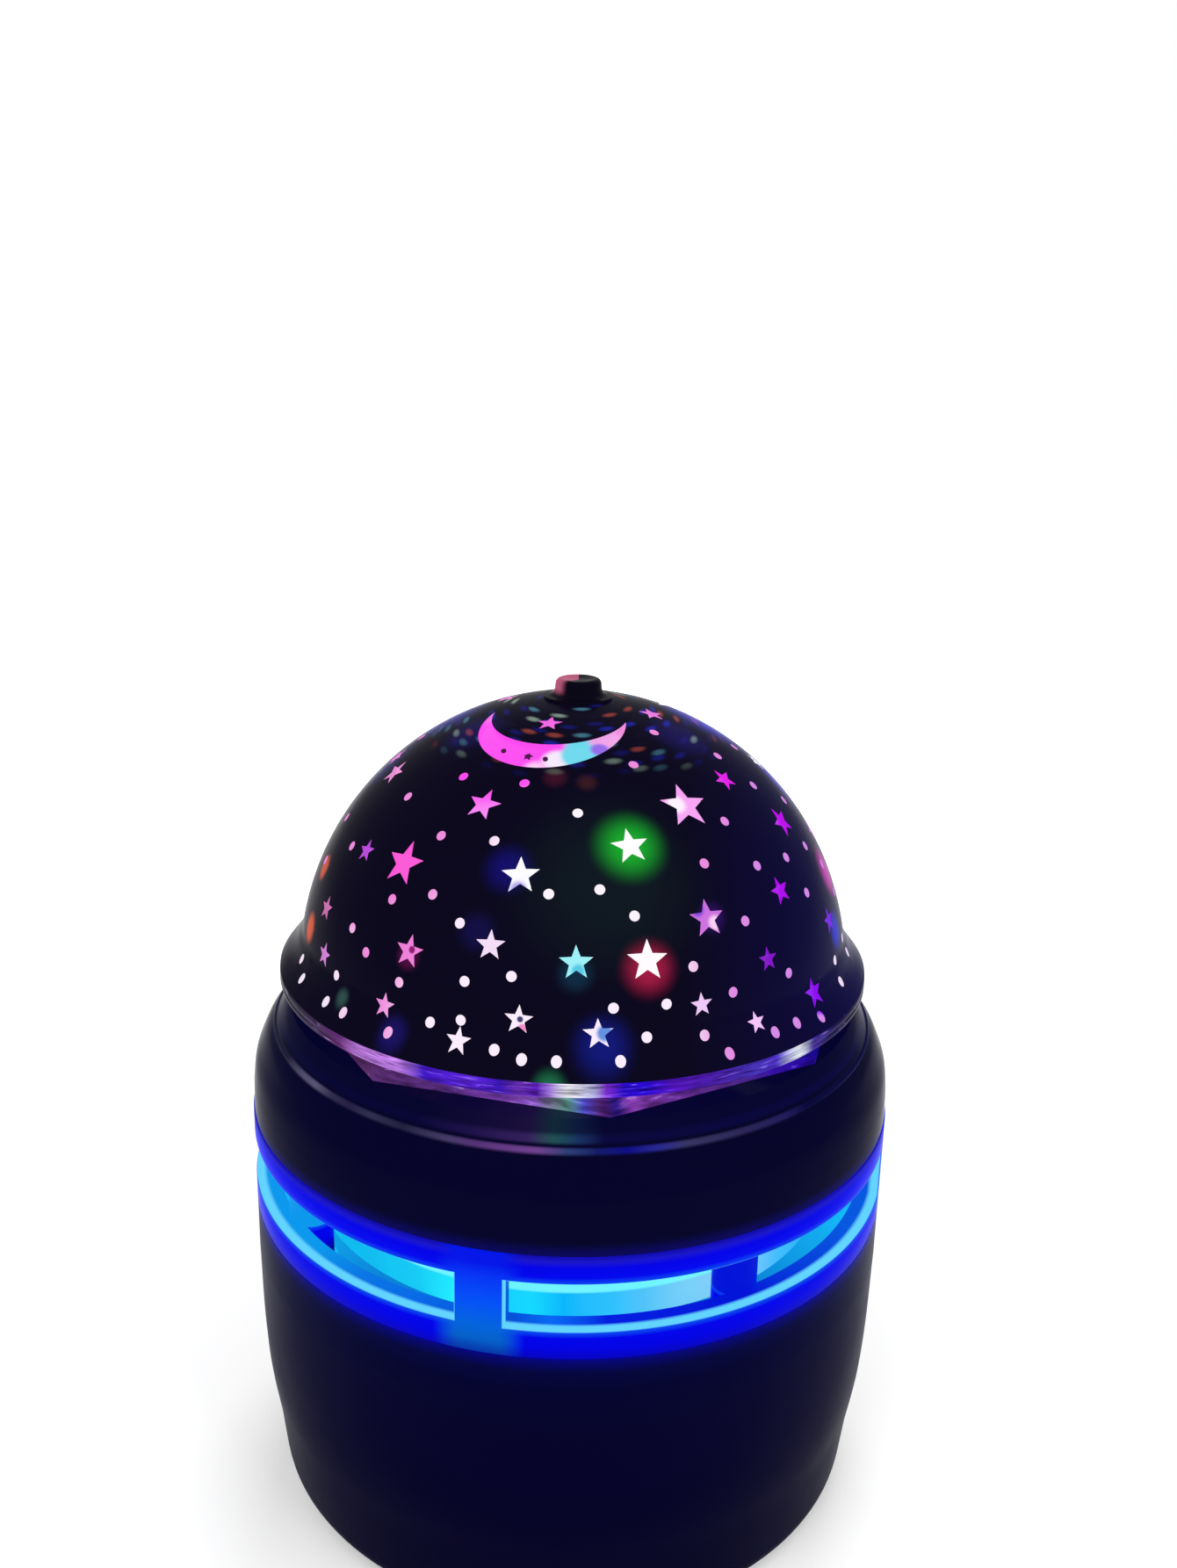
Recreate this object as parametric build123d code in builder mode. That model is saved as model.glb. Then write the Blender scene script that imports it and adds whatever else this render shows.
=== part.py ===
from build123d import *
import os
from math import cos, sin, pi, radians, sqrt, tan

# Star night light projector, in millimetres, +Z up, table at z = 0, rear at +Y.
os.makedirs("parts", exist_ok=True)

# --- driving dimensions -------------------------------------------------------
plate_bottom = 1.5          # underside of the base plate above the table
plate_top = 4.0
cup_top = 57.5              # lower housing meets the light ring
band_top = 76.0             # light ring meets the upper housing
shoulder_z = 92.0           # crease of the upper housing
window_z = 96.2             # eight-sided opening
disc_bottom = 100.4         # turntable disc
disc_top = 103.0            # the star cover stands here
dome_centre_z = 101.1
body_r = 60.0
shoulder_r = body_r - 4.4
dome_r = 50.7
wall = 2.4
tongue = 3.0                # the light ring reaches this far into the lower housing
skin = 0.6                  # black skin of the star cover
shell_wall = 2.0
skin_gap = 0.05
slip = 0.1                  # seated parts that are pushed together by hand
play = 0.3                  # free play between moving parts
run_fit = 0.06              # turning fit, radial
spin_fit = 0.04             # pressed metal in plastic
post_turn = -13.0           # degrees, first post of the light ring
octagon_turn = 7.5          # degrees, first corner of the opening
quarters = (0, 90, 180, 270)


def keep(piece, label):
    piece.part.label = label
    export_step(piece.part, f"parts/{label}.step")


def around(radius, angle):
    """Point at an angle measured from the front toward +X."""
    return (radius * sin(radians(angle)), -radius * cos(radians(angle)))


def pan_screws(spots, head_z, up, length, shank_r):
    """Pan head screws; the head's bearing face is at head_z, the shank points up or down."""
    head_r = 1.9 * shank_r
    head_h = 1.3 * shank_r
    way = 1 if up else -1
    with BuildPart() as screws:
        for x, y in spots:
            with BuildSketch(Plane.XY.offset(head_z)):
                with Locations((x, y)):
                    Circle(head_r)
            extrude(amount=-way * head_h)
            with BuildSketch(Plane.XY.offset(head_z)):
                with Locations((x, y)):
                    Circle(shank_r)
            extrude(amount=way * length)
            with BuildSketch(Plane.XY.offset(head_z - way * head_h)):
                with Locations((x, y)):
                    Rectangle(1.3 * head_r, 0.28 * head_r)
                    Rectangle(0.28 * head_r, 1.3 * head_r)
            extrude(amount=way * 0.5 * head_h, mode=Mode.SUBTRACT)
    return screws


# --- lower housing, base plate and feet ---------------------------------------
# how far the outside stands in from the body's radius, and at what height
cup_steps = (
    (5.2, plate_bottom), (4.0, 2.8), (3.4, 5.5), (3.0, 9.0), (2.5, 13.5),
    (1.5, 19.5), (0.6, 28.0), (0.2, 38.0), (0.0, 48.0),
)
cup_outer = [(body_r - inset, z) for inset, z in cup_steps]
plate_r = body_r - 10
ledge_r = plate_r - 3
ledge_top = 7.0
cup_inner_r = body_r - wall
base_screw_r = body_r - 17
base_screw_turn = 45.0
base_boss_top = 20.0
base_rib = plate_r + 5 - base_screw_r
chassis_screw_r = body_r - 6.5
chassis_screw_turn = post_turn + 45.0
boss_drop = 19.5
small_shank = 1.5
board_z = 14.0
jack_z = board_z + 8
jack_barrel_r = 4.0
panel_floor = body_r - 2.6
panel_inner = body_r - 7
panel_half = 23.0
panel_z = cup_top - boss_drop
panel_h = 15.0
button_xs = (-14.0, 0.0, 14.0)
button_r = 3.6
button_hole_r = button_r + 0.2

base_spots = [around(base_screw_r, base_screw_turn + q) for q in quarters]
chassis_spots = [around(chassis_screw_r, chassis_screw_turn + q) for q in quarters]

with BuildPart() as cup_solid:
    with BuildSketch(Plane.XZ):
        with BuildLine():
            Polyline((0, plate_bottom), cup_outer[0])
            Spline(*cup_outer)
            Polyline(cup_outer[-1], (body_r, cup_top), (0, cup_top), (0, plate_bottom))
        make_face()
    revolve(axis=Axis.Z)

with BuildPart() as lower_housing:
    add(cup_solid.part)
    with BuildSketch(Plane.XZ):
        with BuildLine():
            Polyline(
                (0, 0), (plate_r + slip, 0), (plate_r + slip, plate_top), (ledge_r, plate_top),
                (ledge_r, ledge_top), (body_r - 6.2, ledge_top), (body_r - 4.6, 15.0),
                (body_r - 3.4, 26.0), (body_r - 2.8, 36.0), (cup_inner_r, 46.0),
                (cup_inner_r, cup_top + 1), (0, cup_top + 1), (0, 0),
            )
        make_face()
    revolve(axis=Axis.Z, mode=Mode.SUBTRACT)
    # screw bosses standing on the ledge, tied to the wall
    for q in quarters:
        with BuildSketch(Plane.XY.offset(plate_top)):
            with Locations(around(base_screw_r, base_screw_turn + q)):
                Circle(4.0)
            with Locations(Location((0, 0, 0), (0, 0, base_screw_turn + q - 90))):
                with Locations((base_screw_r + base_rib / 2, 0)):
                    Rectangle(base_rib, 2.0)
        extrude(amount=base_boss_top - plate_top)
    # bosses under the light ring
    for q in quarters:
        with BuildSketch(Plane.XY.offset(cup_top - boss_drop)):
            with Locations(around(chassis_screw_r, chassis_screw_turn + q)):
                Circle(4.4)
        extrude(amount=boss_drop - tongue - 0.2)
    # thick pad behind the button panel
    with BuildSketch(Plane.XZ.offset(-panel_inner)):
        with Locations((0, panel_z)):
            RectangleRounded(2 * panel_half, panel_h, 2.5)
    extrude(amount=-8.0)
    add(cup_solid.part, mode=Mode.INTERSECT)
    with BuildSketch(Plane.XZ.offset(-panel_floor)):
        with Locations((0, panel_z)):
            RectangleRounded(2 * panel_half - 4, panel_h - 3, 2.0)
    extrude(amount=-8.0, mode=Mode.SUBTRACT)
    with BuildSketch(Plane.XZ.offset(-panel_inner + 2)):
        with Locations(*[(x, panel_z) for x in button_xs]):
            Circle(button_hole_r)
    extrude(amount=-8.0, mode=Mode.SUBTRACT)
    with BuildSketch(Plane.XZ.offset(-panel_inner + 3)):
        with Locations((0, jack_z)):
            Circle(jack_barrel_r + 0.25)
    extrude(amount=-12.0, mode=Mode.SUBTRACT)
    with BuildSketch(Plane.XY.offset(0)):
        with Locations(*base_spots):
            Circle(small_shank + spin_fit)
    extrude(amount=18.0, mode=Mode.SUBTRACT)
    with BuildSketch(Plane.XY.offset(cup_top - boss_drop + 2)):
        with Locations(*chassis_spots):
            Circle(small_shank + spin_fit)
    extrude(amount=boss_drop, mode=Mode.SUBTRACT)
keep(lower_housing, "lower_housing")

foot_r = 6.0
foot_seat = 2.5
foot_spots = [around(body_r - 21, q) for q in quarters]
board_w, board_d, board_t = 52.0, 46.0, 1.6
board_centre_y = body_r - 43
board_hole_x, board_hole_y = 22.0, 19.0
board_spots = [(x * board_hole_x, board_centre_y + y * board_hole_y) for x in (-1, 1) for y in (-1, 1)]
board_shank = 1.1

with BuildPart() as base_plate:
    with BuildSketch(Plane.XY.offset(plate_bottom)):
        Circle(plate_r)
    extrude(amount=plate_top - plate_bottom)
    with BuildSketch(Plane.XY.offset(plate_top)):
        with Locations(*board_spots):
            Circle(3.0)
    extrude(amount=board_z - plate_top)
    with BuildSketch(Plane.XY.offset(plate_bottom)):
        with Locations(*foot_spots):
            Circle(foot_r + slip)
    extrude(amount=foot_seat - plate_bottom, mode=Mode.SUBTRACT)
    with BuildSketch(Plane.XY.offset(plate_bottom)):
        with Locations(*base_spots):
            Circle(3.1)
    extrude(amount=2.0, mode=Mode.SUBTRACT)
    with BuildSketch(Plane.XY.offset(plate_bottom)):
        with Locations(*base_spots):
            Circle(small_shank + slip)
    extrude(amount=plate_top, mode=Mode.SUBTRACT)
    with BuildSketch(Plane.XY.offset(board_z)):
        with Locations(*board_spots):
            Circle(board_shank + spin_fit)
    extrude(amount=-8.0, mode=Mode.SUBTRACT)
keep(base_plate, "base_plate")

with BuildPart() as rubber_feet:
    with BuildSketch(Plane.XY):
        with Locations(*foot_spots):
            Circle(foot_r)
    extrude(amount=foot_seat)
    fillet(rubber_feet.edges().group_by(Axis.Z)[0], 0.6)
keep(rubber_feet, "rubber_feet")

keep(pan_screws(base_spots, plate_bottom + 2.0, True, 12.0, small_shank), "base_screws")

# --- main board with the power jack -------------------------------------------
jack_w, jack_back, jack_front = 9.0, body_r - 16, body_r - 1.8
jack_bore_r = 2.8
jack_depth = 10.5
board_top = board_z + board_t

with BuildPart() as main_board:
    with BuildSketch(Plane.XY.offset(board_z)):
        with Locations((0, board_centre_y)):
            Rectangle(board_w, board_d)
            with GridLocations(2 * board_hole_x, 2 * board_hole_y, 2, 2):
                Circle(board_shank + slip, mode=Mode.SUBTRACT)
        with Locations((0, board_centre_y + board_d / 2 + 4.5)):
            Rectangle(14.0, 9.0)
    extrude(amount=board_t)
keep(main_board, "main_board")

keep(pan_screws(board_spots, board_top, False, 6.0, board_shank), "board_screws")

with BuildPart() as control_chips:
    with BuildSketch(Plane.XY.offset(board_top)):
        with Locations((-10, board_centre_y - 3), (12, board_centre_y + 7)):
            Rectangle(8.0, 10.0)
        with Locations((14, board_centre_y - 9)):
            Rectangle(5.0, 4.0)
    extrude(amount=1.6)
keep(control_chips, "control_chips")

with BuildPart() as capacitors:
    with BuildSketch(Plane.XY.offset(board_top)):
        with Locations((-20, board_centre_y + 13), (-20, board_centre_y + 5)):
            Circle(3.0)
    extrude(amount=9.0)
    fillet(capacitors.edges().group_by(Axis.Z)[-1], 0.5)
keep(capacitors, "capacitors")

with BuildPart() as power_jack:
    with BuildSketch(Plane.XY.offset(board_top)):
        with Locations((0, (jack_back + panel_inner) / 2)):
            Rectangle(jack_w, panel_inner - jack_back)
    extrude(amount=10.6)
    with BuildSketch(Plane.XZ.offset(-panel_inner)):
        with Locations((0, jack_z)):
            Circle(jack_barrel_r)
    extrude(amount=panel_inner - jack_front)
    with BuildSketch(Plane.XZ.offset(-jack_front)):
        with Locations((0, jack_z)):
            Circle(jack_bore_r)
    extrude(amount=jack_depth, mode=Mode.SUBTRACT)
    with BuildSketch(Plane.XZ.offset(-jack_front + jack_depth + 0.5)):
        with Locations((0, jack_z)):
            Circle(1.0)
    extrude(amount=-(jack_depth - 0.5))
keep(power_jack, "power_jack")

# --- rear buttons and their board ---------------------------------------------
button_face = body_r - 1
button_flange_r = 4.6
button_stem_end = panel_inner - 2.2
switch_top = button_stem_end - 1.2
switch_board_y = panel_inner - 9

with BuildPart() as button_board:
    with BuildSketch(Plane.XZ.offset(-switch_board_y)):
        with Locations((0, panel_z)):
            Rectangle(40.0, 16.0)
    extrude(amount=-board_t)
    with BuildSketch(Plane.XZ.offset(-switch_board_y)):
        with Locations((-7, panel_z), (7, panel_z)):
            Circle(board_shank + slip)
    extrude(amount=-board_t, mode=Mode.SUBTRACT)
keep(button_board, "button_board")

with BuildPart() as board_pillars:
    with BuildSketch(Plane.XZ.offset(-switch_board_y - board_t)):
        with Locations((-7, panel_z), (7, panel_z)):
            Circle(2.0)
    extrude(amount=-(panel_inner - switch_board_y - board_t))
keep(board_pillars, "board_pillars")

with BuildPart() as tact_switches:
    with BuildSketch(Plane.XZ.offset(-switch_board_y - board_t)):
        with Locations(*[(x, panel_z) for x in button_xs]):
            RectangleRounded(6.0, 6.0, 0.4)
    extrude(amount=-2.8)
    with BuildSketch(Plane.XZ.offset(-switch_board_y - board_t - 2.8)):
        with Locations(*[(x, panel_z) for x in button_xs]):
            Circle(1.7)
    extrude(amount=-(switch_top - switch_board_y - board_t - 2.8))
keep(tact_switches, "tact_switches")


def rear_button(x, label):
    with BuildPart() as button:
        with BuildSketch(Plane.XZ.offset(-panel_inner + 1.8)):
            with Locations((x, panel_z)):
                Circle(button_flange_r)
        extrude(amount=-1.5)
        with BuildSketch(Plane.XZ.offset(-panel_inner + 0.3)):
            with Locations((x, panel_z)):
                Circle(button_r)
        extrude(amount=-(button_face - panel_inner + 0.3))
        fillet(button.edges().group_by(Axis.Y)[-1], 0.7)
        with BuildSketch(Plane.XZ.offset(-button_stem_end)):
            with Locations((x, panel_z)):
                Circle(1.6)
        extrude(amount=-1.0)
    keep(button, label)


for button_x, button_name in zip(button_xs, ("colour_button", "power_button", "turn_button")):
    rear_button(button_x, button_name)

# --- light ring ----------------------------------------------------------------
ring_wall = 3.0
slot_bottom, slot_top = 62.7, 71.1
slot_half = 41.2            # degrees either side of the slot's middle
top_tongue = 2.2
tongue_r = cup_inner_r - slip
band_boss_r = 3.8

with BuildPart() as light_ring:
    with BuildSketch(Plane.XY.offset(cup_top)):
        Circle(body_r)
        Circle(body_r - ring_wall, mode=Mode.SUBTRACT)
    extrude(amount=band_top - cup_top)
    with BuildSketch(Plane.XY.offset(cup_top - tongue)):
        Circle(tongue_r)
        Circle(tongue_r - 1.6, mode=Mode.SUBTRACT)
    extrude(amount=band_top - cup_top + tongue + top_tongue)
    for q in quarters:
        middle = chassis_screw_turn + q - 90
        with BuildSketch(Plane.XY.offset(slot_bottom)):
            with BuildLine():
                inner = CenterArc((0, 0), body_r - 10, middle - slot_half, 2 * slot_half)
                outer = CenterArc((0, 0), body_r + 5, middle - slot_half, 2 * slot_half)
                Line(inner @ 0, outer @ 0)
                Line(inner @ 1, outer @ 1)
            make_face()
        extrude(amount=slot_top - slot_bottom, mode=Mode.SUBTRACT)
    with BuildSketch(Plane.XY.offset(cup_top - tongue)):
        with Locations(*chassis_spots):
            Circle(band_boss_r)
    extrude(amount=band_top - cup_top + tongue)
    with BuildSketch(Plane.XY.offset(cup_top - tongue - 1)):
        with Locations(*chassis_spots):
            Circle(small_shank + slip)
    extrude(amount=band_top - cup_top + tongue + 2, mode=Mode.SUBTRACT)
keep(light_ring, "light_ring")

# --- chassis: platform, strip skirt and the turning post -----------------------
chassis_top = band_top + 2.4
chassis_r = tongue_r - 1.6 - slip
skirt_r, skirt_wall = body_r - 15.5, 1.5
skirt_bottom = cup_top + 0.5
post_r, post_bore = 9.0, 5.0
post_top = disc_top + 1
housing_screw_r = body_r - 7.8
housing_spots = [around(housing_screw_r, post_turn + 90 + q) for q in quarters]
gear_module = body_r / 75
big_teeth, small_teeth = 60, 12
big_pitch_r = gear_module * big_teeth / 2
small_pitch_r = gear_module * small_teeth / 2
motor_x = big_pitch_r + small_pitch_r       # motor to the right of the post
ear_y = 15.0
motor_spots = [(motor_x, -ear_y), (motor_x, ear_y)]
cap_spots = [(-7.0, 0.0), (7.0, 0.0)]

with BuildPart() as chassis:
    with BuildSketch(Plane.XY.offset(band_top)):
        Circle(chassis_r)
    extrude(amount=chassis_top - band_top)
    with BuildSketch(Plane.XY.offset(skirt_bottom)):
        Circle(skirt_r)
        Circle(skirt_r - skirt_wall, mode=Mode.SUBTRACT)
    extrude(amount=band_top - skirt_bottom)
    with BuildSketch(Plane.XY.offset(band_top)):
        Circle(post_r)
    extrude(amount=post_top - band_top)
    with BuildSketch(Plane.XY.offset(band_top)):
        Circle(post_bore)
        with Locations((motor_x, 0)):
            Circle(3.6)
        with Locations(*motor_spots):
            Circle(board_shank + slip)
        with Locations(*housing_spots):
            Circle(small_shank + slip)
        with Locations(*chassis_spots):
            Circle(small_shank + slip)
    extrude(amount=post_top, mode=Mode.SUBTRACT)
    with BuildSketch(Plane.XY.offset(post_top - 7)):
        with Locations(*cap_spots):
            Circle(0.8 + spin_fit)
    extrude(amount=8.0, mode=Mode.SUBTRACT)
keep(chassis, "chassis")

chassis_screw = chassis_top - cup_top + 13.1
keep(pan_screws(chassis_spots, chassis_top, False, chassis_screw, small_shank), "chassis_screws")
keep(pan_screws(housing_spots, band_top, True, 12.0, small_shank), "housing_screws")

# --- light strip behind the slots ----------------------------------------------
strip_bottom, strip_top = cup_top + 2.3, band_top - 4
strip_board_r = skirt_r + 0.7
led_count = 24
led_size, led_thick = 5.0, 1.6
diffuser_in, diffuser_out = skirt_r + 2.9, skirt_r + 4.5
diffuser_bottom = cup_top - 0.3

with BuildPart() as strip_board:
    with BuildSketch(Plane.XY.offset(strip_bottom)):
        Circle(strip_board_r)
        Circle(skirt_r, mode=Mode.SUBTRACT)
    extrude(amount=strip_top - strip_bottom)
keep(strip_board, "strip_board")

with BuildPart() as strip_leds:
    with Locations((0, 0, (strip_bottom + strip_top) / 2)):
        with PolarLocations(strip_board_r + led_thick / 2, led_count):
            Box(led_thick, led_size, led_size)
    with BuildSketch(Plane.XY.offset(strip_bottom)):
        Circle(strip_board_r)
    extrude(amount=strip_top - strip_bottom, mode=Mode.SUBTRACT)
keep(strip_leds, "strip_leds")

with BuildPart() as diffuser_ring:
    with BuildSketch(Plane.XY.offset(diffuser_bottom)):
        Circle(diffuser_out)
        Circle(diffuser_in, mode=Mode.SUBTRACT)
    extrude(amount=band_top - diffuser_bottom)
keep(diffuser_ring, "diffuser_ring")

# --- upper housing with its eight-sided opening --------------------------------
octagon_r = body_r - 7.5
top_wall = 2.2
roof_z = window_z - top_wall
flank_z = band_top + 5
housing_inner_r = tongue_r + slip
housing_boss_r = 3.8

with BuildPart() as top_solid:
    with BuildSketch(Plane.XZ):
        with BuildLine():
            Polyline((0, band_top), (body_r - 0.2, band_top), (body_r - 0.3, flank_z))
            Spline(
                (body_r - 0.3, flank_z), (body_r - 0.8, flank_z + 4), (body_r - 2, flank_z + 7.2),
                (body_r - 3.1, shoulder_z - 1.6), (shoulder_r, shoulder_z), tangents=((-0.02, 1), (-0.9, 1)),
            )
            Polyline((shoulder_r, shoulder_z), (octagon_r + 0.2, window_z), (0, window_z), (0, band_top))
        make_face()
    revolve(axis=Axis.Z)

with BuildPart() as upper_housing:
    add(top_solid.part)
    with BuildSketch(Plane.XZ):
        with BuildLine():
            Polyline(
                (0, band_top - 1), (housing_inner_r, band_top - 1), (housing_inner_r, flank_z + 0.5),
                (body_r - 3.2, flank_z + 4.5), (body_r - 5.2, shoulder_z - 2.5),
                (body_r - 6.6, shoulder_z - 0.8), (body_r - 8.1, roof_z), (0, roof_z), (0, band_top - 1),
            )
        make_face()
    revolve(axis=Axis.Z, mode=Mode.SUBTRACT)
    with BuildSketch(Plane.XY.offset(chassis_top)):
        with Locations(*housing_spots):
            Circle(housing_boss_r)
    extrude(amount=shoulder_z - 1.8 - chassis_top)
    with BuildSketch(Plane.XY.offset(roof_z - 1)):
        RegularPolygon(octagon_r, 8, rotation=octagon_turn - 90)
    extrude(amount=top_wall + 3, mode=Mode.SUBTRACT)
    with BuildSketch(Plane.XY.offset(chassis_top - 1)):
        with Locations(*housing_spots):
            Circle(small_shank + spin_fit)
    extrude(amount=11.0, mode=Mode.SUBTRACT)
keep(upper_housing, "upper_housing")

# clear eight-sided ring that fills the opening around the turntable
prism_hole_r = body_r - 23

with BuildPart() as prism_ring:
    with BuildSketch(Plane.XY.offset(roof_z)):
        RegularPolygon(octagon_r - slip, 8, rotation=octagon_turn - 90)
    extrude(amount=top_wall)
    with BuildSketch(Plane.XY.offset(window_z)) as foot_face:
        RegularPolygon(octagon_r - slip, 8, rotation=octagon_turn - 90)
    with BuildSketch(Plane.XY.offset(window_z + 2.6)) as crown_face:
        RegularPolygon(octagon_r - 8.0, 8, rotation=octagon_turn - 90)
    loft()
    with BuildSketch(Plane.XY.offset(roof_z - 1)):
        Circle(prism_hole_r)
    extrude(amount=12.0, mode=Mode.SUBTRACT)
keep(prism_ring, "prism_ring")

# --- drive: motor, pinion, turntable gear ---------------------------------------
motor_r = body_r / 5
motor_h = 12.0
ear_t = 1.0
shaft_r = 1.2
gear_bottom = chassis_top + 2.6
gear_top = gear_bottom + 5
pinion_bottom, pinion_top = gear_bottom - 1, gear_top + 1
motor_top = band_top
backlash = 0.1

with BuildPart() as gear_motor:
    with BuildSketch(Plane.XY.offset(motor_top)):
        with Locations((motor_x, 0)):
            SlotOverall(2 * ear_y + 7.0, 7.0, rotation=90)
            Circle(motor_r)
        with Locations(*motor_spots):
            Circle(board_shank + slip, mode=Mode.SUBTRACT)
    extrude(amount=-ear_t)
    with BuildSketch(Plane.XY.offset(motor_top)):
        with Locations((motor_x, 0)):
            Circle(motor_r)
    extrude(amount=-motor_h)
    fillet(gear_motor.edges().group_by(Axis.Z)[0], 0.8)
    with BuildSketch(Plane.XY.offset(motor_top)):
        with Locations((motor_x, 0)):
            Circle(3.2)
    extrude(amount=1.5)
    with BuildSketch(Plane.XY.offset(motor_top + 1.5)):
        with Locations((motor_x, 0)):
            Circle(shaft_r + run_fit)
    extrude(amount=-9.0, mode=Mode.SUBTRACT)
keep(gear_motor, "gear_motor")

keep(pan_screws(motor_spots, motor_top - ear_t, True, 3.2, board_shank), "motor_screws")

with BuildPart() as motor_shaft:
    with BuildSketch(Plane.XY.offset(motor_top - 7)):
        with Locations((motor_x, 0)):
            Circle(shaft_r)
    extrude(amount=pinion_top - motor_top + 8)
keep(motor_shaft, "motor_shaft")


def gear_outline(teeth, phase):
    """Straight-flanked teeth on a pitch circle; a tooth is centred on the phase angle (degrees)."""
    pitch_r = gear_module * teeth / 2
    quarter = pi * gear_module / 4 - backlash
    flank = tan(radians(20))
    levels = ((pitch_r - 1.15 * gear_module, quarter + 1.15 * gear_module * flank),
              (pitch_r + gear_module, quarter - gear_module * flank))
    points = []
    for tooth in range(teeth):
        middle = radians(phase) + 2 * pi * tooth / teeth
        for side, (radius, half) in ((-1, levels[0]), (-1, levels[1]), (1, levels[1]), (1, levels[0])):
            angle = middle + side * half / pitch_r
            points.append((radius * cos(angle), radius * sin(angle)))
    return points


with BuildPart() as pinion:
    with BuildSketch(Plane.XY.offset(pinion_bottom)):
        with Locations((motor_x, 0)):
            Polygon(*gear_outline(small_teeth, 180 / small_teeth), align=None)
            Circle(shaft_r, mode=Mode.SUBTRACT)
    extrude(amount=pinion_top - pinion_bottom)
keep(pinion, "pinion")

hub_r = 13.0
hub_bottom = chassis_top + 0.6
flange_r, flange_t = 18.0, 2.5
rotor_spots = [around(15.6, a) for a in (0, 120, 240)]

with BuildPart() as turntable_gear:
    with BuildSketch(Plane.XY.offset(gear_bottom)):
        Polygon(*gear_outline(big_teeth, 0), align=None)
    extrude(amount=gear_top - gear_bottom)
    with BuildSketch(Plane.XY.offset(hub_bottom)):
        Circle(hub_r)
    extrude(amount=disc_bottom - hub_bottom)
    with BuildSketch(Plane.XY.offset(disc_bottom - flange_t)):
        Circle(flange_r)
    extrude(amount=flange_t)
    with BuildSketch(Plane.XY.offset(gear_bottom)):
        with PolarLocations(18.2, 6):
            Circle(2.6)
    extrude(amount=gear_top - gear_bottom, mode=Mode.SUBTRACT)
    with BuildSketch(Plane.XY.offset(hub_bottom)):
        Circle(post_r + run_fit)
    extrude(amount=disc_top, mode=Mode.SUBTRACT)
    with BuildSketch(Plane.XY.offset(disc_bottom - flange_t)):
        with Locations(*rotor_spots):
            Circle(board_shank + spin_fit)
    extrude(amount=flange_t, mode=Mode.SUBTRACT)
keep(turntable_gear, "turntable_gear")

with BuildPart() as thrust_washer:
    with BuildSketch(Plane.XY.offset(chassis_top)):
        Circle(12.5)
        Circle(post_r + run_fit, mode=Mode.SUBTRACT)
    extrude(amount=0.5)
keep(thrust_washer, "thrust_washer")

# --- turntable that carries the lens dome and the star cover --------------------
shell_offset = skin + skin_gap
shell_inner = dome_r - shell_offset - shell_wall
disc_r = dome_r + 3.6
upstand_out = shell_inner - 0.45
upstand_in = upstand_out - 1.6
upstand_top = disc_top + 3.0
lens_r = dome_r - 9.7
lens_rim_top = disc_top + 1.6

with BuildPart() as turntable:
    with BuildSketch(Plane.XY.offset(disc_bottom)):
        Circle(disc_r)
        Circle(post_r + run_fit, mode=Mode.SUBTRACT)
        with Locations(*rotor_spots):
            Circle(board_shank + slip, mode=Mode.SUBTRACT)
    extrude(amount=disc_top - disc_bottom)
    with BuildSketch(Plane.XY.offset(disc_top)):
        Circle(upstand_out)
        Circle(upstand_in, mode=Mode.SUBTRACT)
    extrude(amount=upstand_top - disc_top)
    # low rim that the lens dome stands in
    with BuildSketch(Plane.XY.offset(disc_top)):
        Circle(lens_r + slip + 1.4)
        Circle(lens_r + slip, mode=Mode.SUBTRACT)
    extrude(amount=lens_rim_top - disc_top)
keep(turntable, "turntable")

keep(pan_screws(rotor_spots, disc_top, False, 4.2, board_shank), "turntable_screws")

lens_wall = 2.0
bump_r = 3.6
bump_rise = 1.0
# elevation of each row of lenses and how many stand in it
lens_rows = ((14, 28), (28, 26), (41, 21), (54, 16), (67, 10), (79, 5))


def lens_places():
    """A plane at the centre of each lens, its z direction straight out of the dome."""
    depth = lens_r + bump_rise - bump_r
    places = [Plane(origin=(0, 0, disc_top + depth))]
    for elevation, count in lens_rows:
        for k in range(count):
            angle = 360 * k / count + elevation
            x, y = around(cos(radians(elevation)), angle)
            outward = Vector(x, y, sin(radians(elevation)))
            across = Vector(cos(radians(angle)), sin(radians(angle)), 0)
            centre = Vector(0, 0, disc_top) + outward * depth
            places.append(Plane(origin=centre, x_dir=across, z_dir=outward))
    return places


def ball_half(radius, skirt):
    """Half section of an upper half ball standing on a straight skirt."""
    with BuildLine() as profile:
        Polyline(
            (0, disc_top + radius), (0, disc_top - skirt), (radius, disc_top - skirt), (radius, disc_top),
        )
        ThreePointArc(
            (radius, disc_top),
            (radius * cos(radians(45)), disc_top + radius * sin(radians(45))),
            (0, disc_top + radius),
        )
    return profile.line


with BuildPart() as lens_dome:
    with BuildSketch(Plane.XZ):
        with BuildLine():
            add(ball_half(lens_r, 1.0))
        make_face()
    revolve(axis=Axis.Z)
    with Locations(*[place.location for place in lens_places()]):
        Sphere(bump_r)
    with BuildSketch(Plane.XY.offset(disc_top)):
        Circle(lens_r + 2)
    extrude(amount=-2.0, mode=Mode.SUBTRACT)
    with BuildSketch(Plane.XZ):
        with BuildLine():
            add(ball_half(lens_r - lens_wall, 3.0))
        make_face()
    revolve(axis=Axis.Z, mode=Mode.SUBTRACT)
keep(lens_dome, "lens_dome")

# --- light engine on top of the post ---------------------------------------------
cap_t = 1.0
engine_r = 16.0

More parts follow.
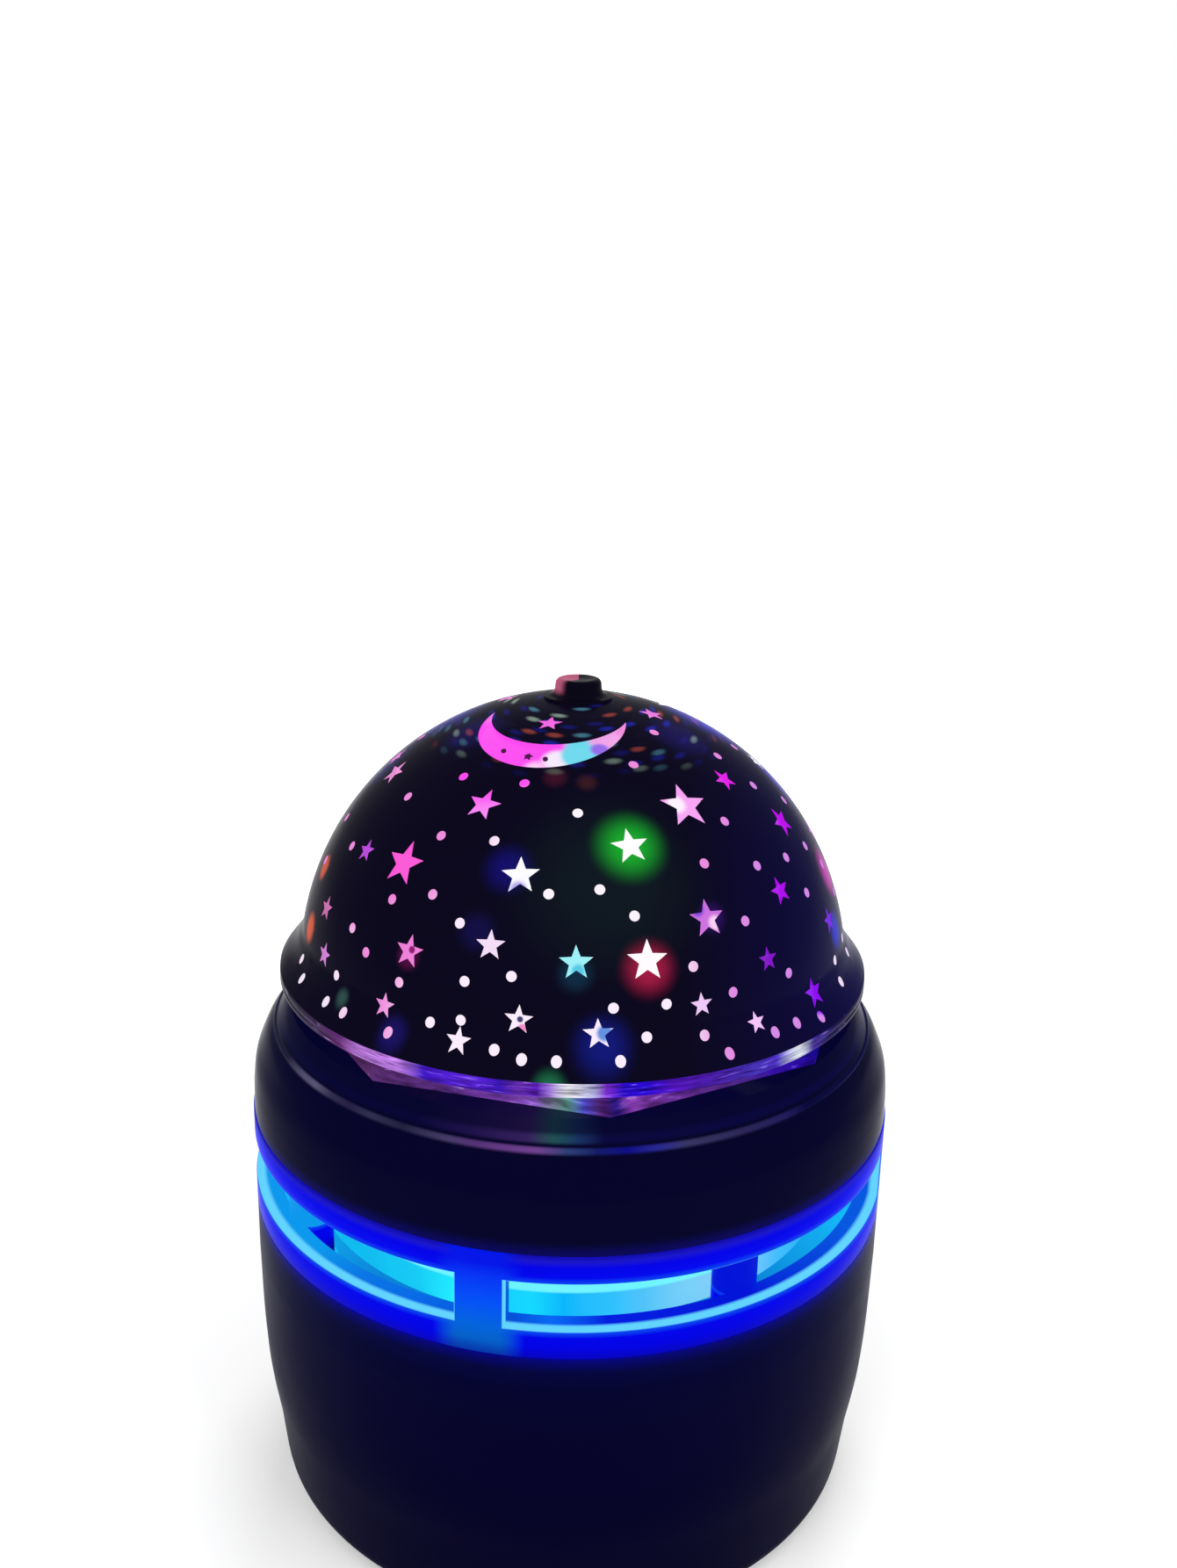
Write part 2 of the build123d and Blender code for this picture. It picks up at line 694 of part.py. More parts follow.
with BuildPart() as post_cap:
    with BuildSketch(Plane.XY.offset(post_top)):
        Circle(12.4)
        Circle(post_bore, mode=Mode.SUBTRACT)
        with Locations(*cap_spots):
            Circle(0.8 + slip, mode=Mode.SUBTRACT)
    extrude(amount=cap_t)
keep(post_cap, "post_cap")

engine_z = post_top + cap_t
with BuildPart() as engine_board:
    with BuildSketch(Plane.XY.offset(engine_z)):
        Circle(engine_r)
        with Locations(*cap_spots):
            Circle(0.8 + slip, mode=Mode.SUBTRACT)
        Circle(2.0, mode=Mode.SUBTRACT)
    extrude(amount=board_t)
keep(engine_board, "engine_board")

keep(pan_screws(cap_spots, engine_z + board_t, False, 7.5, 0.8), "engine_screws")

with BuildPart() as star_leds:
    with Locations((0, 0, engine_z + board_t + 1.1)):
        with PolarLocations(11.4, 6, start_angle=30):
            Box(4.0, 4.0, 2.2)
keep(star_leds, "star_leds")

# --- star cover -------------------------------------------------------------------
# the wall runs out into a flared foot: how far out from the ball's radius, how high over the disc
flare = ((3.5, 0.0), (2.8, 0.9), (1.7, 2.2), (0.6, 3.8), (-0.2, 5.4))
flare_end = 7.0
crown_z = dome_centre_z + dome_r
inner_crown_z = dome_centre_z + shell_inner
spigot_r = 3.0


def cover_face(offset):
    """Half section of all that lies under the cover's outer face, moved in by offset."""
    ball = dome_r - offset
    join_z = disc_top + flare_end
    join_r = sqrt(ball ** 2 - (join_z - dome_centre_z) ** 2)
    steps = [(dome_r + reach - offset, disc_top + rise) for reach, rise in flare]
    with BuildLine() as profile:
        Line((0, disc_top), steps[0])
        Spline(*steps, (join_r, join_z), tangents=((-0.7, 1), (-(join_z - dome_centre_z) / join_r, 1)))
        ThreePointArc(
            (join_r, join_z),
            (ball * cos(radians(45)), dome_centre_z + ball * sin(radians(45))),
            (0, dome_centre_z + ball),
        )
        Line((0, dome_centre_z + ball), (0, disc_top))
    return profile.line


with BuildPart() as star_cover:
    with BuildSketch(Plane.XZ):
        with BuildLine():
            add(cover_face(shell_offset))
        make_face()
    revolve(axis=Axis.Z)
    inner_foot = sqrt(shell_inner ** 2 - (disc_top - dome_centre_z) ** 2)
    with BuildSketch(Plane.XZ):
        with BuildLine():
            Polyline(
                (0, inner_crown_z), (0, disc_top - 1), (inner_foot, disc_top - 1), (inner_foot, disc_top),
            )
            ThreePointArc(
                (inner_foot, disc_top),
                (shell_inner * cos(radians(45)), dome_centre_z + shell_inner * sin(radians(45))),
                (0, inner_crown_z),
            )
        make_face()
    revolve(axis=Axis.Z, mode=Mode.SUBTRACT)
    with BuildSketch(Plane.XY.offset(dome_centre_z + 30)):
        Circle(spigot_r + slip)
    extrude(amount=30.0, mode=Mode.SUBTRACT)
keep(star_cover, "star_cover")

# stars: angle from the front, height angle on the dome, tip radius, turn
stars = (
    (-74, 49, 2.8, 10), (-27, 50, 3.1, -5), (-42, 35, 4.0, 5), (-57, 34, 2.1, 20), (-12, 37, 3.2, 12),
    (14, 43, 3.2, 6), (34, 50, 4.4, -10), (56, 53, 2.4, 12), (69, 74, 2.4, 30), (-20, 74, 2.3, 8),
    (67, 40, 3.0, 14), (51, 29, 2.5, 8), (29, 28, 3.2, -6), (15, 22, 3.4, -8), (1, 22, 2.8, 4),
    (-16, 24, 2.5, 9), (-33, 20, 2.8, 0), (-63, 20, 2.2, 16), (-58, 12, 2.2, -8), (-37, 9, 2.1, 12),
    (-20, 6.5, 2.2, 4), (-9, 11.5, 2.4, -6), (5, 9.5, 2.5, 10), (25, 13, 2.0, 0), (36, 7.5, 1.8, 15),
    (42, 18, 2.1, -10), (54, 8, 2.6, 6), (68, 18, 2.4, -4), (92, 50, 2.3, 6), (88, 32, 2.8, 6),
    (85, 11, 2.3, 14),
)
# round windows: height angle, then angles from the front
dots = {
    69: (47,), 61: (23,), 58: (66,), 56: (-17, 88), 55: (-40,), 50: (1,), 49: (68,), 47: (-55,), 45: (44,),
    43: (-20,), 42: (-35, 80), 38: (32,), 35: (47, 6, -80), 34: (59, -5), 33: (-64, 72), 31: (-31,),
    30: (13,), 28: (-41,), 27: (-23, 78), 26: (38, 61, -76), 20: (-50, 24, 80, -84), 19: (-11,),
    17: (-44, -20), 14: (8, 32, 18, -34, 47), 11: (77,), 10: (-52, -20, 67), 8.5: (-26, 14), 7.5: (25, 78),
    7: (-69,), 6: (-13, 66), 5: (9, -2, 46, -8, -34, -46, -52, 40, -64), 4: (29, 53),
}
dot_r = 0.85
notch = 0.42                # inner corners of a star, part of its tip radius
moon_outer = ((-4.3, -11.9), 12.7)
moon_inner = ((-3.0, -7.5), 12.0)


def dome_plane(angle, height, turn=0.0):
    """Plane touching the inside of the black skin, its y direction up the dome."""
    x, y = around(cos(radians(height)), angle)
    normal = Vector(x, y, sin(radians(height)))
    across = Vector(cos(radians(angle)), sin(radians(angle)), 0)
    face = Plane(
        origin=Vector(0, 0, dome_centre_z) + normal * (dome_r - 2 * skin), x_dir=across, z_dir=normal
    )
    return face.rotated((0, 0, turn))


def star_points(tip_r):
    points = []
    for k in range(5):
        for radius, angle in ((tip_r, 90 + 72 * k), (notch * tip_r, 126 + 72 * k)):
            points.append((radius * cos(radians(angle)), radius * sin(radians(angle))))
    return points


with BuildPart() as star_mask:
    with BuildSketch(Plane.XZ):
        with BuildLine():
            add(cover_face(0.0))
        make_face()
    revolve(axis=Axis.Z)
    with BuildSketch(Plane.XZ):
        with BuildLine():
            add(cover_face(skin))
        make_face()
    revolve(axis=Axis.Z, mode=Mode.SUBTRACT)
    for half_turn in (0, 180):
        for star_angle, star_height, tip, turn in stars:
            with BuildSketch(dome_plane(star_angle + half_turn, star_height, turn)):
                Polygon(*star_points(tip), align=None)
        for dot_height, dot_angles in dots.items():
            for dot_angle in dot_angles:
                with BuildSketch(dome_plane(dot_angle + half_turn, dot_height)):
                    Circle(dot_r)
    extrude(amount=2 * skin + flare[0][0], mode=Mode.SUBTRACT)
    for half_turn in (0, 180):
        with BuildSketch(Plane.XY.offset(dome_centre_z + 30).rotated((0, 0, half_turn))):
            with Locations(moon_outer[0]):
                Circle(moon_outer[1])
            with Locations(moon_inner[0]):
                Circle(moon_inner[1], mode=Mode.SUBTRACT)
        extrude(amount=30.0, mode=Mode.SUBTRACT)
    with BuildSketch(Plane.XY.offset(dome_centre_z + 30)):
        Circle(spigot_r + slip)
    extrude(amount=30.0, mode=Mode.SUBTRACT)
keep(star_mask, "star_mask")

knob_r = 4.2
knob_flare_r = 6.2
knob_top = crown_z + 3.2
knob_bore_top = knob_top - 1.6

with BuildPart() as top_knob:
    with BuildSketch(Plane.XZ):
        with BuildLine():
            Polyline((0, crown_z - 2), (knob_flare_r, crown_z - 2), (knob_flare_r, crown_z + 0.1))
            Spline((knob_flare_r, crown_z + 0.1), (knob_r + 0.4, crown_z + 0.6), (knob_r, crown_z + 1.5))
            Polyline((knob_r, crown_z + 1.5), (knob_r, knob_top), (0, knob_top), (0, crown_z - 2))
        make_face()
    revolve(axis=Axis.Z)
    fillet(top_knob.edges().group_by(Axis.Z)[-1], 1.2)
    with Locations((0, 0, dome_centre_z)):
        Sphere(dome_r, mode=Mode.SUBTRACT)
    with BuildSketch(Plane.XY.offset(inner_crown_z + 0.4)):
        Circle(spigot_r)
    extrude(amount=crown_z - inner_crown_z + 0.6)
    with BuildSketch(Plane.XY.offset(inner_crown_z)):
        Circle(small_shank + spin_fit)
    extrude(amount=knob_bore_top - inner_crown_z, mode=Mode.SUBTRACT)
keep(top_knob, "top_knob")

with BuildPart() as knob_screw:
    with BuildSketch(Plane.XY.offset(inner_crown_z - 0.25)):
        Circle(4.2)
    extrude(amount=-1.4)
    with BuildSketch(Plane.XY.offset(inner_crown_z - 0.25)):
        Circle(small_shank)
    extrude(amount=knob_bore_top - inner_crown_z - 0.2)
keep(knob_screw, "knob_screw")

# --- leads ---------------------------------------------------------------------------
lead_r = 0.7
with BuildPart() as leads:
    lead_y = board_centre_y + 9
    for lead_x in (-1.8, 0.0, 1.8):
        with BuildLine():
            FilletPolyline(
                (4 * lead_x, lead_y, board_top), (4 * lead_x, lead_y, 34.0), (lead_x, 2.6, 48.0),
                (lead_x, 2.6, engine_z), radius=6.0,
            )
        with BuildSketch(Plane((4 * lead_x, lead_y, board_top))):
            Circle(lead_r)
        sweep()
keep(leads, "leads")
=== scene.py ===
import bpy
from math import atan2, cos, degrees, hypot, pi, radians, sin
from mathutils import Matrix, Vector


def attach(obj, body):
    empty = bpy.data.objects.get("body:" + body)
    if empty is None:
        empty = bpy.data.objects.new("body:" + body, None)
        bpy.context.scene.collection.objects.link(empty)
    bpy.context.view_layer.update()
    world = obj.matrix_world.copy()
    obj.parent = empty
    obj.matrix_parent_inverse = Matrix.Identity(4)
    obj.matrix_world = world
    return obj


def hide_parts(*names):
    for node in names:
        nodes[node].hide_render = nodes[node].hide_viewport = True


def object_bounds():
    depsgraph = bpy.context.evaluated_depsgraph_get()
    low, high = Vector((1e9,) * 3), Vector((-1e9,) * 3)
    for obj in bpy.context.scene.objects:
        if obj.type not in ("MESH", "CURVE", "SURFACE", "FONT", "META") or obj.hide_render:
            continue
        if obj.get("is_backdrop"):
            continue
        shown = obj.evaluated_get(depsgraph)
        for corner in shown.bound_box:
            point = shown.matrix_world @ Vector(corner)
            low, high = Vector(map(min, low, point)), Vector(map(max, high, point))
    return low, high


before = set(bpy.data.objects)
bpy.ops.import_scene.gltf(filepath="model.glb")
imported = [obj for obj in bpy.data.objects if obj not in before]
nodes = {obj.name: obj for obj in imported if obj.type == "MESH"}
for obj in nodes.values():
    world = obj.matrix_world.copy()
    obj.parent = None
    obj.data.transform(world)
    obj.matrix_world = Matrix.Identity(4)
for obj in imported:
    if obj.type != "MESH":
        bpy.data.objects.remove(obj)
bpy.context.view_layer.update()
mm = 0.001
weld = 0.01 * mm  # corners nearer than this become one
dome = {"middle": 101.1, "filmReach": 50.7}  # height of the ball's middle and radius of its black film, mm
domeMiddle = Vector((0, 0, dome["middle"] * mm))
postTurn = -13.0  # degrees from the front to the first post of the light ring
openingTurn = 7.5  # degrees to the first corner of the eight-sided opening
print("frame loaded with", len(nodes), "pieces")


def hexColour(code):  # sRGB hex to linear
    parts = [int(code[i:i + 2], 16) / 255 for i in (1, 3, 5)]
    return tuple(c / 12.92 if c <= 0.04045 else ((c + 0.055) / 1.055) ** 2.4 for c in parts) + (1.0,)


# inputs 1 to 4 of a map range are from low, from high, to low and to high,
# and 0, 6 and 7 of a colour mix are its share and its two colours
def addNode(tree, kind, links=None, **settings):  # one node with its settings, inputs linked or filled in
    node = tree.nodes.new(kind)
    for key, value in settings.items():
        if key == "stops":  # places along a colour ramp and their colours
            marks = node.color_ramp.elements
            for position, code in value[1:-1]:
                marks.new(position).color = hexColour(code)
            for mark, (position, code) in ((marks[0], value[0]), (marks[-1], value[-1])):
                mark.position, mark.color = position, hexColour(code)
        else:
            setattr(node, key, value)
    for socket, value in (links or {}).items():
        if isinstance(value, bpy.types.NodeSocket):
            tree.links.new(value, node.inputs[socket])
        else:
            node.inputs[socket].default_value = value
    return node


def newFinish(name, sockets):  # a material with its plain values on the shader's own sockets
    finish = bpy.data.materials.new(name)
    finish.use_nodes = True
    shader = finish.node_tree.nodes["Principled BSDF"]
    for socket, value in sockets.items():
        shader.inputs[socket].default_value = hexColour(value) if isinstance(value, str) else value
    return finish, finish.node_tree, shader


# a moulded or cast surface: grain and its depth in mm, roughness from low to high
def addGrain(tree, shader, grain, depth, low, high):
    place = addNode(tree, "ShaderNodeTexCoord").outputs["Object"]
    noise = addNode(tree, "ShaderNodeTexNoise", {"Vector": place, "Scale": 1 / (grain * mm), "Detail": 3.0})
    bump = addNode(tree, "ShaderNodeBump", {
        "Height": noise.outputs["Fac"], "Distance": depth * mm, "Strength": 0.6,
    })
    tree.links.new(bump.outputs["Normal"], shader.inputs["Normal"])
    wear = addNode(tree, "ShaderNodeTexNoise", {"Vector": place, "Scale": 0.12 / (grain * mm), "Detail": 4.0})
    rough = addNode(tree, "ShaderNodeMapRange", {0: wear.outputs["Fac"], 1: 0.3, 2: 0.7, 3: low, 4: high})
    tree.links.new(rough.outputs[0], shader.inputs["Roughness"])


def turnAngle(tree):  # degrees from the front toward the right
    place = addNode(tree, "ShaderNodeSeparateXYZ", {0: addNode(tree, "ShaderNodeTexCoord").outputs["Object"]})
    ahead = addNode(tree, "ShaderNodeMath", {0: place.outputs[1], 1: -1.0}, operation="MULTIPLY")
    turn = addNode(tree, "ShaderNodeMath", {0: place.outputs[0], 1: ahead.outputs[0]}, operation="ARCTAN2")
    return addNode(tree, "ShaderNodeMath", {0: turn.outputs[0]}, operation="DEGREES").outputs[0]


def reachOut(tree):  # mm from the upright axis
    place = addNode(tree, "ShaderNodeSeparateXYZ", {0: addNode(tree, "ShaderNodeTexCoord").outputs["Object"]})
    flat = addNode(tree, "ShaderNodeCombineXYZ", {0: place.outputs[0], 1: place.outputs[1]})
    reach = addNode(tree, "ShaderNodeVectorMath", {0: flat.outputs[0]}, operation="LENGTH")
    return addNode(tree, "ShaderNodeMath", {
        0: reach.outputs["Value"], 1: 1 / mm,
    }, operation="MULTIPLY").outputs[0]


def heightUp(tree):  # mm above the floor
    place = addNode(tree, "ShaderNodeSeparateXYZ", {0: addNode(tree, "ShaderNodeTexCoord").outputs["Object"]})
    return addNode(tree, "ShaderNodeMath", {0: place.outputs[2], 1: 1 / mm}, operation="MULTIPLY").outputs[0]


def frontShare(tree):  # 0 at the left side, 1 at the right side, the rear mirrors the front
    ahead = addNode(tree, "ShaderNodeMath", {0: turnAngle(tree), 1: 90.0}, operation="ADD")
    folded = addNode(tree, "ShaderNodeMath", {0: ahead.outputs[0], 1: 180.0}, operation="PINGPONG")
    return addNode(tree, "ShaderNodeMath", {0: folded.outputs[0], 1: 180.0}, operation="DIVIDE").outputs[0]


def frontStops(marks):  # colour ramp stops from angles between -90 and 90
    return [((angle + 90) / 180, code) for angle, code in marks]


def heightStops(marks, low, high):  # colour ramp stops from heights in mm
    return [((z - low) / (high - low), code) for z, code in marks]


def domeWay(angle, rise):  # unit direction on the dome, degrees from the front toward the right and upward
    flat = cos(radians(rise))
    return (sin(radians(angle)) * flat, -cos(radians(angle)) * flat, sin(radians(rise)))


def domeDirection(tree):  # the same for a point on a surface
    place = addNode(tree, "ShaderNodeTexCoord").outputs["Object"]
    centred = addNode(tree, "ShaderNodeVectorMath", {0: place, 1: domeMiddle}, operation="SUBTRACT")
    return addNode(tree, "ShaderNodeVectorMath", {0: centred.outputs[0]}, operation="NORMALIZE").outputs[0]


def addSpots(tree, direction, glow, spots, blend):  # spots: angle, rise, reach, colour, share kept full
    for angle, rise, reach, code, full in spots:
        apart = addNode(tree, "ShaderNodeVectorMath", {
            0: direction, 1: domeWay(angle, rise),
        }, operation="DISTANCE")
        weight = addNode(tree, "ShaderNodeMapRange", {
            0: apart.outputs["Value"], 1: full * reach, 2: reach, 3: 1.0, 4: 0.0,
        }, interpolation_type="SMOOTHERSTEP")
        glow = addNode(tree, "ShaderNodeMix", {
            0: weight.outputs[0], 6: glow, 7: hexColour(code),
        }, data_type="RGBA", blend_type=blend).outputs[2]
    return glow


def dress(finish, *names):  # puts a finish on pieces that keep their mesh
    for name in names:
        slots = nodes[name].data.materials
        slots.clear()
        slots.append(finish)


def selectOnly(piece):
    bpy.ops.object.select_all(action="DESELECT")
    piece.select_set(True)
    bpy.context.view_layer.objects.active = piece


def pick(piece, kind, wanted):  # opens edit mode with the faces or edges whose corners suit
    selectOnly(piece)
    bpy.ops.object.mode_set(mode="EDIT")
    bpy.ops.mesh.select_mode(type=kind)
    bpy.ops.mesh.select_all(action="DESELECT")
    bpy.ops.object.mode_set(mode="OBJECT")
    corners = piece.data.vertices
    for part in (piece.data.polygons if kind == "FACE" else piece.data.edges):
        part.select = wanted([corners[i].co for i in part.vertices])
    bpy.ops.object.mode_set(mode="EDIT")


def smoothPoints(points, steps=5):  # a smooth curve through the given points
    made = []
    line = [points[0], *points, points[-1]]
    for quad in zip(line, line[1:], line[2:], line[3:]):
        for k in range(steps):
            t = k / steps
            made.append(tuple(
                0.5 * (2 * b + (c - a) * t + (2 * a - 5 * b + 4 * c - d) * t ** 2
                       + (3 * b - a - 3 * c + d) * t ** 3)
                for a, b, c, d in zip(*quad)
            ))
    return made + [points[-1]]


# a plane merged to one corner is drawn out along the points, radius and height in mm, and spun
def turnProfile(name, points, steps=180):
    bpy.ops.object.select_all(action="DESELECT")
    bpy.ops.mesh.primitive_plane_add(size=mm)
    piece = bpy.context.active_object
    piece.name = piece.data.name = name
    bpy.ops.object.mode_set(mode="EDIT")
    bpy.ops.mesh.select_mode(type="VERT")
    bpy.ops.mesh.select_all(action="SELECT")
    bpy.ops.mesh.merge(type="CENTER")
    bpy.ops.transform.translate(value=(points[0][0] * mm, 0, points[0][1] * mm))
    for (r0, z0), (r1, z1) in zip(points, points[1:]):
        step = ((r1 - r0) * mm, 0, (z1 - z0) * mm)
        bpy.ops.mesh.extrude_region_move(TRANSFORM_OT_translate={"value": step})
    bpy.ops.mesh.select_all(action="SELECT")
    bpy.ops.mesh.remove_doubles(threshold=weld)
    bpy.ops.mesh.select_all(action="SELECT")
    bpy.ops.mesh.spin(steps=steps, angle=2 * pi, center=(0, 0, 0), axis=(0, 0, 1))
    bpy.ops.mesh.select_all(action="SELECT")
    bpy.ops.mesh.remove_doubles(threshold=weld)
    bpy.ops.mesh.normals_make_consistent(inside=False)
    bpy.ops.object.mode_set(mode="OBJECT")
    return piece


def addRods(spots, radius, ends, sides=48, turn=0.0):  # upright rods in mm, joined into one object
    rods = []
    for x, y in spots:
        bpy.ops.object.select_all(action="DESELECT")
        bpy.ops.mesh.primitive_cylinder_add(
            vertices=sides, radius=radius * mm, depth=(ends[1] - ends[0]) * mm,
            location=(x * mm, y * mm, sum(ends) / 2 * mm), rotation=(0, 0, radians(turn)),
        )
        rods.append(bpy.context.active_object)
    for rod in rods:
        rod.select_set(True)
    bpy.context.view_layer.objects.active = rods[0]
    if len(rods) > 1:
        bpy.ops.object.join()
    return bpy.context.active_object


def combine(piece, other, how):  # boolean with another closed mesh, which is used up
    selectOnly(piece)
    step = piece.modifiers.new(how.lower(), "BOOLEAN")
    step.operation, step.solver, step.object = how, "EXACT", other
    bpy.ops.object.modifier_apply(modifier=step.name)
    bpy.data.objects.remove(other, do_unlink=True)


def finishPiece(piece, body, finish, node=None, angle=35):  # edges sharper than the angle stay crisp
    selectOnly(piece)
    bpy.ops.object.transform_apply(location=True, rotation=True, scale=True)
    bpy.ops.object.mode_set(mode="EDIT")
    bpy.ops.mesh.select_all(action="SELECT")
    bpy.ops.mesh.remove_doubles(threshold=weld / 2)
    bpy.ops.mesh.normals_make_consistent(inside=False)
    bpy.ops.object.mode_set(mode="OBJECT")
    bpy.ops.object.shade_smooth_by_angle(angle=radians(angle))
    piece.data.materials.clear()
    piece.data.materials.append(finish)
    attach(piece, body)
    if node:
        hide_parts(node)


def around(radius, angle):  # a point at an angle from the front toward the right
    return (radius * sin(radians(angle)), -radius * cos(radians(angle)))


# clear cover: injection moulded polycarbonate, lit from inside, so each window is a flat pane of light
windowLook = {
    "left": "#ee8cdc", "right": "#d488e8", "sides": (0.3, 0.7),
    "spots": (  # angle, rise, reach, colour, share kept full
        (-62, 6, 0.36, "#f4e2f6", 0.6), (70, 6, 0.30, "#eedcf8", 0.6), (-4, 12, 0.62, "#faecfc", 0.6),
        (0, 40, 0.40, "#fbf2fc", 0.5), (-42, 35, 0.13, "#fa58d6", 0.6), (-57, 34, 0.07, "#b84ad8", 0.6),
        (-27, 50, 0.10, "#f88af6", 0.7), (-12, 36.9, 0.08, "#fbfbfe", 0.8),
        (-12, 34.6, 0.04, "#b4a4ec", 0.3), (14, 43, 0.13, "#fefefe", 0.8), (34, 50, 0.13, "#f8a4f4", 0.7),
        (32, 51, 0.05, "#fff0ff", 0.3), (56, 53, 0.08, "#e024e8", 0.7), (67, 40, 0.10, "#bc14ec", 0.7),
        (51, 29, 0.09, "#ac0eec", 0.7), (29, 28.5, 0.08, "#cc70e0", 0.6), (27.5, 30, 0.035, "#7c40d8", 0.3),
        (31, 27, 0.035, "#fbd0f4", 0.3), (15, 22, 0.10, "#fffafd", 0.8), (0.8, 21.8, 0.075, "#9cf0f6", 0.6),
        (1.5, 20.6, 0.03, "#54c8e4", 0.3), (-33, 20.3, 0.08, "#ee80d8", 0.7),
        (-33, 20.3, 0.016, "#8a1470", 0.5), (-16, 23.5, 0.07, "#f2dcf6", 0.6),
        (-63, 20, 0.08, "#c870ac", 0.7), (-58, 12, 0.07, "#d080d0", 0.7), (-9, 11.4, 0.013, "#3e396f", 0.5),
        (-8.5, 9.8, 0.02, "#f08cc8", 0.4), (6.5, 9.4, 0.035, "#6090e0", 0.4),
        (42, 17.6, 0.07, "#8418c8", 0.7), (54, 8, 0.08, "#8c10f0", 0.7), (68, 18.4, 0.09, "#7a34e0", 0.7),
        (36, 7.5, 0.05, "#f4c4fa", 0.7), (25, 13.2, 0.05, "#eec8f6", 0.7), (92, 50, 0.08, "#ffffff", 0.7),
        (-74, 49.4, 0.08, "#e890d4", 0.7), (-36, 64, 0.30, "#fb4cf0", 0.6),
        (-8, 63.2, 0.07, "#f4e8fa", 0.4), (-16, 60.2, 0.06, "#fbd0f6", 0.2),
        (17, 68.5, 0.09, "#f0a4e8", 0.5), (2.5, 65.0, 0.085, "#6cd8ec", 0.6),
        (11.5, 66.6, 0.045, "#9468e8", 0.4), (69, 74, 0.07, "#ea80e2", 0.7),
        (-20.5, 73.5, 0.07, "#f268e4", 0.7),
    ),
}


def addWindowGlow(tree, direction):  # pink at the left, violet at the right, then each window's own colour
    across = addNode(tree, "ShaderNodeSeparateXYZ", {0: direction}).outputs[0]
    low, high = windowLook["sides"]
    side = addNode(tree, "ShaderNodeMapRange", {0: across, 1: low, 2: high}, interpolation_type="SMOOTHSTEP")
    glow = addNode(tree, "ShaderNodeMix", {
        0: side.outputs[0], 6: hexColour(windowLook["left"]), 7: hexColour(windowLook["right"]),
    }, data_type="RGBA").outputs[2]
    return addSpots(tree, direction, glow, windowLook["spots"], "MIX")


windowFinish, tree, shader = newFinish("litClearPolycarbonate", {
    "Base Color": "#100810", "Roughness": 0.12, "IOR": 1.2, "Emission Strength": 1.0,
})
tree.links.new(addWindowGlow(tree, domeDirection(tree)), shader.inputs["Emission Color"])
dress(windowFinish, "star_cover")
print("clear cover made")

# black film on the cover: screen-printed gloss lacquer, deep black, with painted light on it: a faint navy
# glow all over, bluer toward the right side, and painted glows round some windows
filmLook = {
    # painted light: a faint navy glow over the whole film, turning bluer toward the right side
    "paintedNavyGlow": "#08061a", "paintedBlueSideGlow": "#0a0640", "blueFrom": 0.35,
    "halos": (  # painted glows round windows: angle, rise, reach, colour, share kept full
        (14, 43, 0.15, "#12a81e", 0.05), (8, 36, 0.42, "#051409", 0.1), (15, 20.5, 0.115, "#a0143c", 0.05),
        (-15, 38, 0.11, "#0c0664", 0.05), (6, 7.5, 0.13, "#091474", 0.05), (1, 20, 0.08, "#06283c", 0.1),
        (-3, 1, 0.07, "#186c40", 0.1), (-74, 25, 0.06, "#c04818", 0.3), (-69.5, 13.5, 0.07, "#c84c1c", 0.3),
        (71, 15, 0.09, "#1420b0", 0.2), (79, 25, 0.12, "#a8148c", 0.2), (-48, 7, 0.045, "#2c4a44", 0.1),
        (-33, 5, 0.08, "#140c58", 0.1), (-33, 19, 0.06, "#4c0638", 0.2), (30, 28, 0.07, "#24084c", 0.2),
        (-7, 58, 0.06, "#380a14", 0.1), (4, 57, 0.05, "#34140c", 0.1), (-19, 26, 0.09, "#0c083c", 0.1),
        (-100, 62, 0.20, "#1c1878", 0.1), (-88, 48, 0.16, "#141050", 0.1), (105, 62, 0.24, "#2c28a8", 0.1),
        (97, 44, 0.20, "#3428b4", 0.1), (60, 66, 0.16, "#120c48", 0.1), (-60, 66, 0.16, "#100c40", 0.1),
    ),
    "dashWide": 0.095, "dashTall": 0.046,  # size of a dash in radians on the dome
    "dashEdge": (0.1, 0.42), "dashRise": (0.84, 0.93),  # soft edge, and sine of the rise where dashes begin
    "dashColours": (  # share of the dashes, and colour
        (0.0, "#141c8c"), (0.14, "#3c6c80"), (0.26, "#803428"), (0.36, "#788c80"), (0.46, "#04030a"),
        (0.8, "#0c0c58"),
    ),
    "wallTilt": 0.55,  # a face that looks outward less than this is a window's cut wall
    "grain": (6, 0.008, 0.14, 0.26),  # size and depth in mm, lowest and highest roughness
}
filmFinish, tree, shader = newFinish("printedGlossFilm", {
    "Base Color": "#030206", "IOR": 1.05, "Emission Strength": 1.0,
})
direction = domeDirection(tree)
way = addNode(tree, "ShaderNodeSeparateXYZ", {0: direction})
# painted light: the navy glow turns bluer toward the right, then the painted glows round windows are added
side = addNode(tree, "ShaderNodeMapRange", {0: way.outputs[0], 1: filmLook["blueFrom"], 2: 1.0})
glow = addNode(tree, "ShaderNodeMix", {
    0: side.outputs[0], 6: hexColour(filmLook["paintedNavyGlow"]), 7: hexColour(filmLook["paintedBlueSideGlow"]),
}, data_type="RGBA").outputs[2]
glow = addSpots(tree, direction, glow, filmLook["halos"], "ADD")
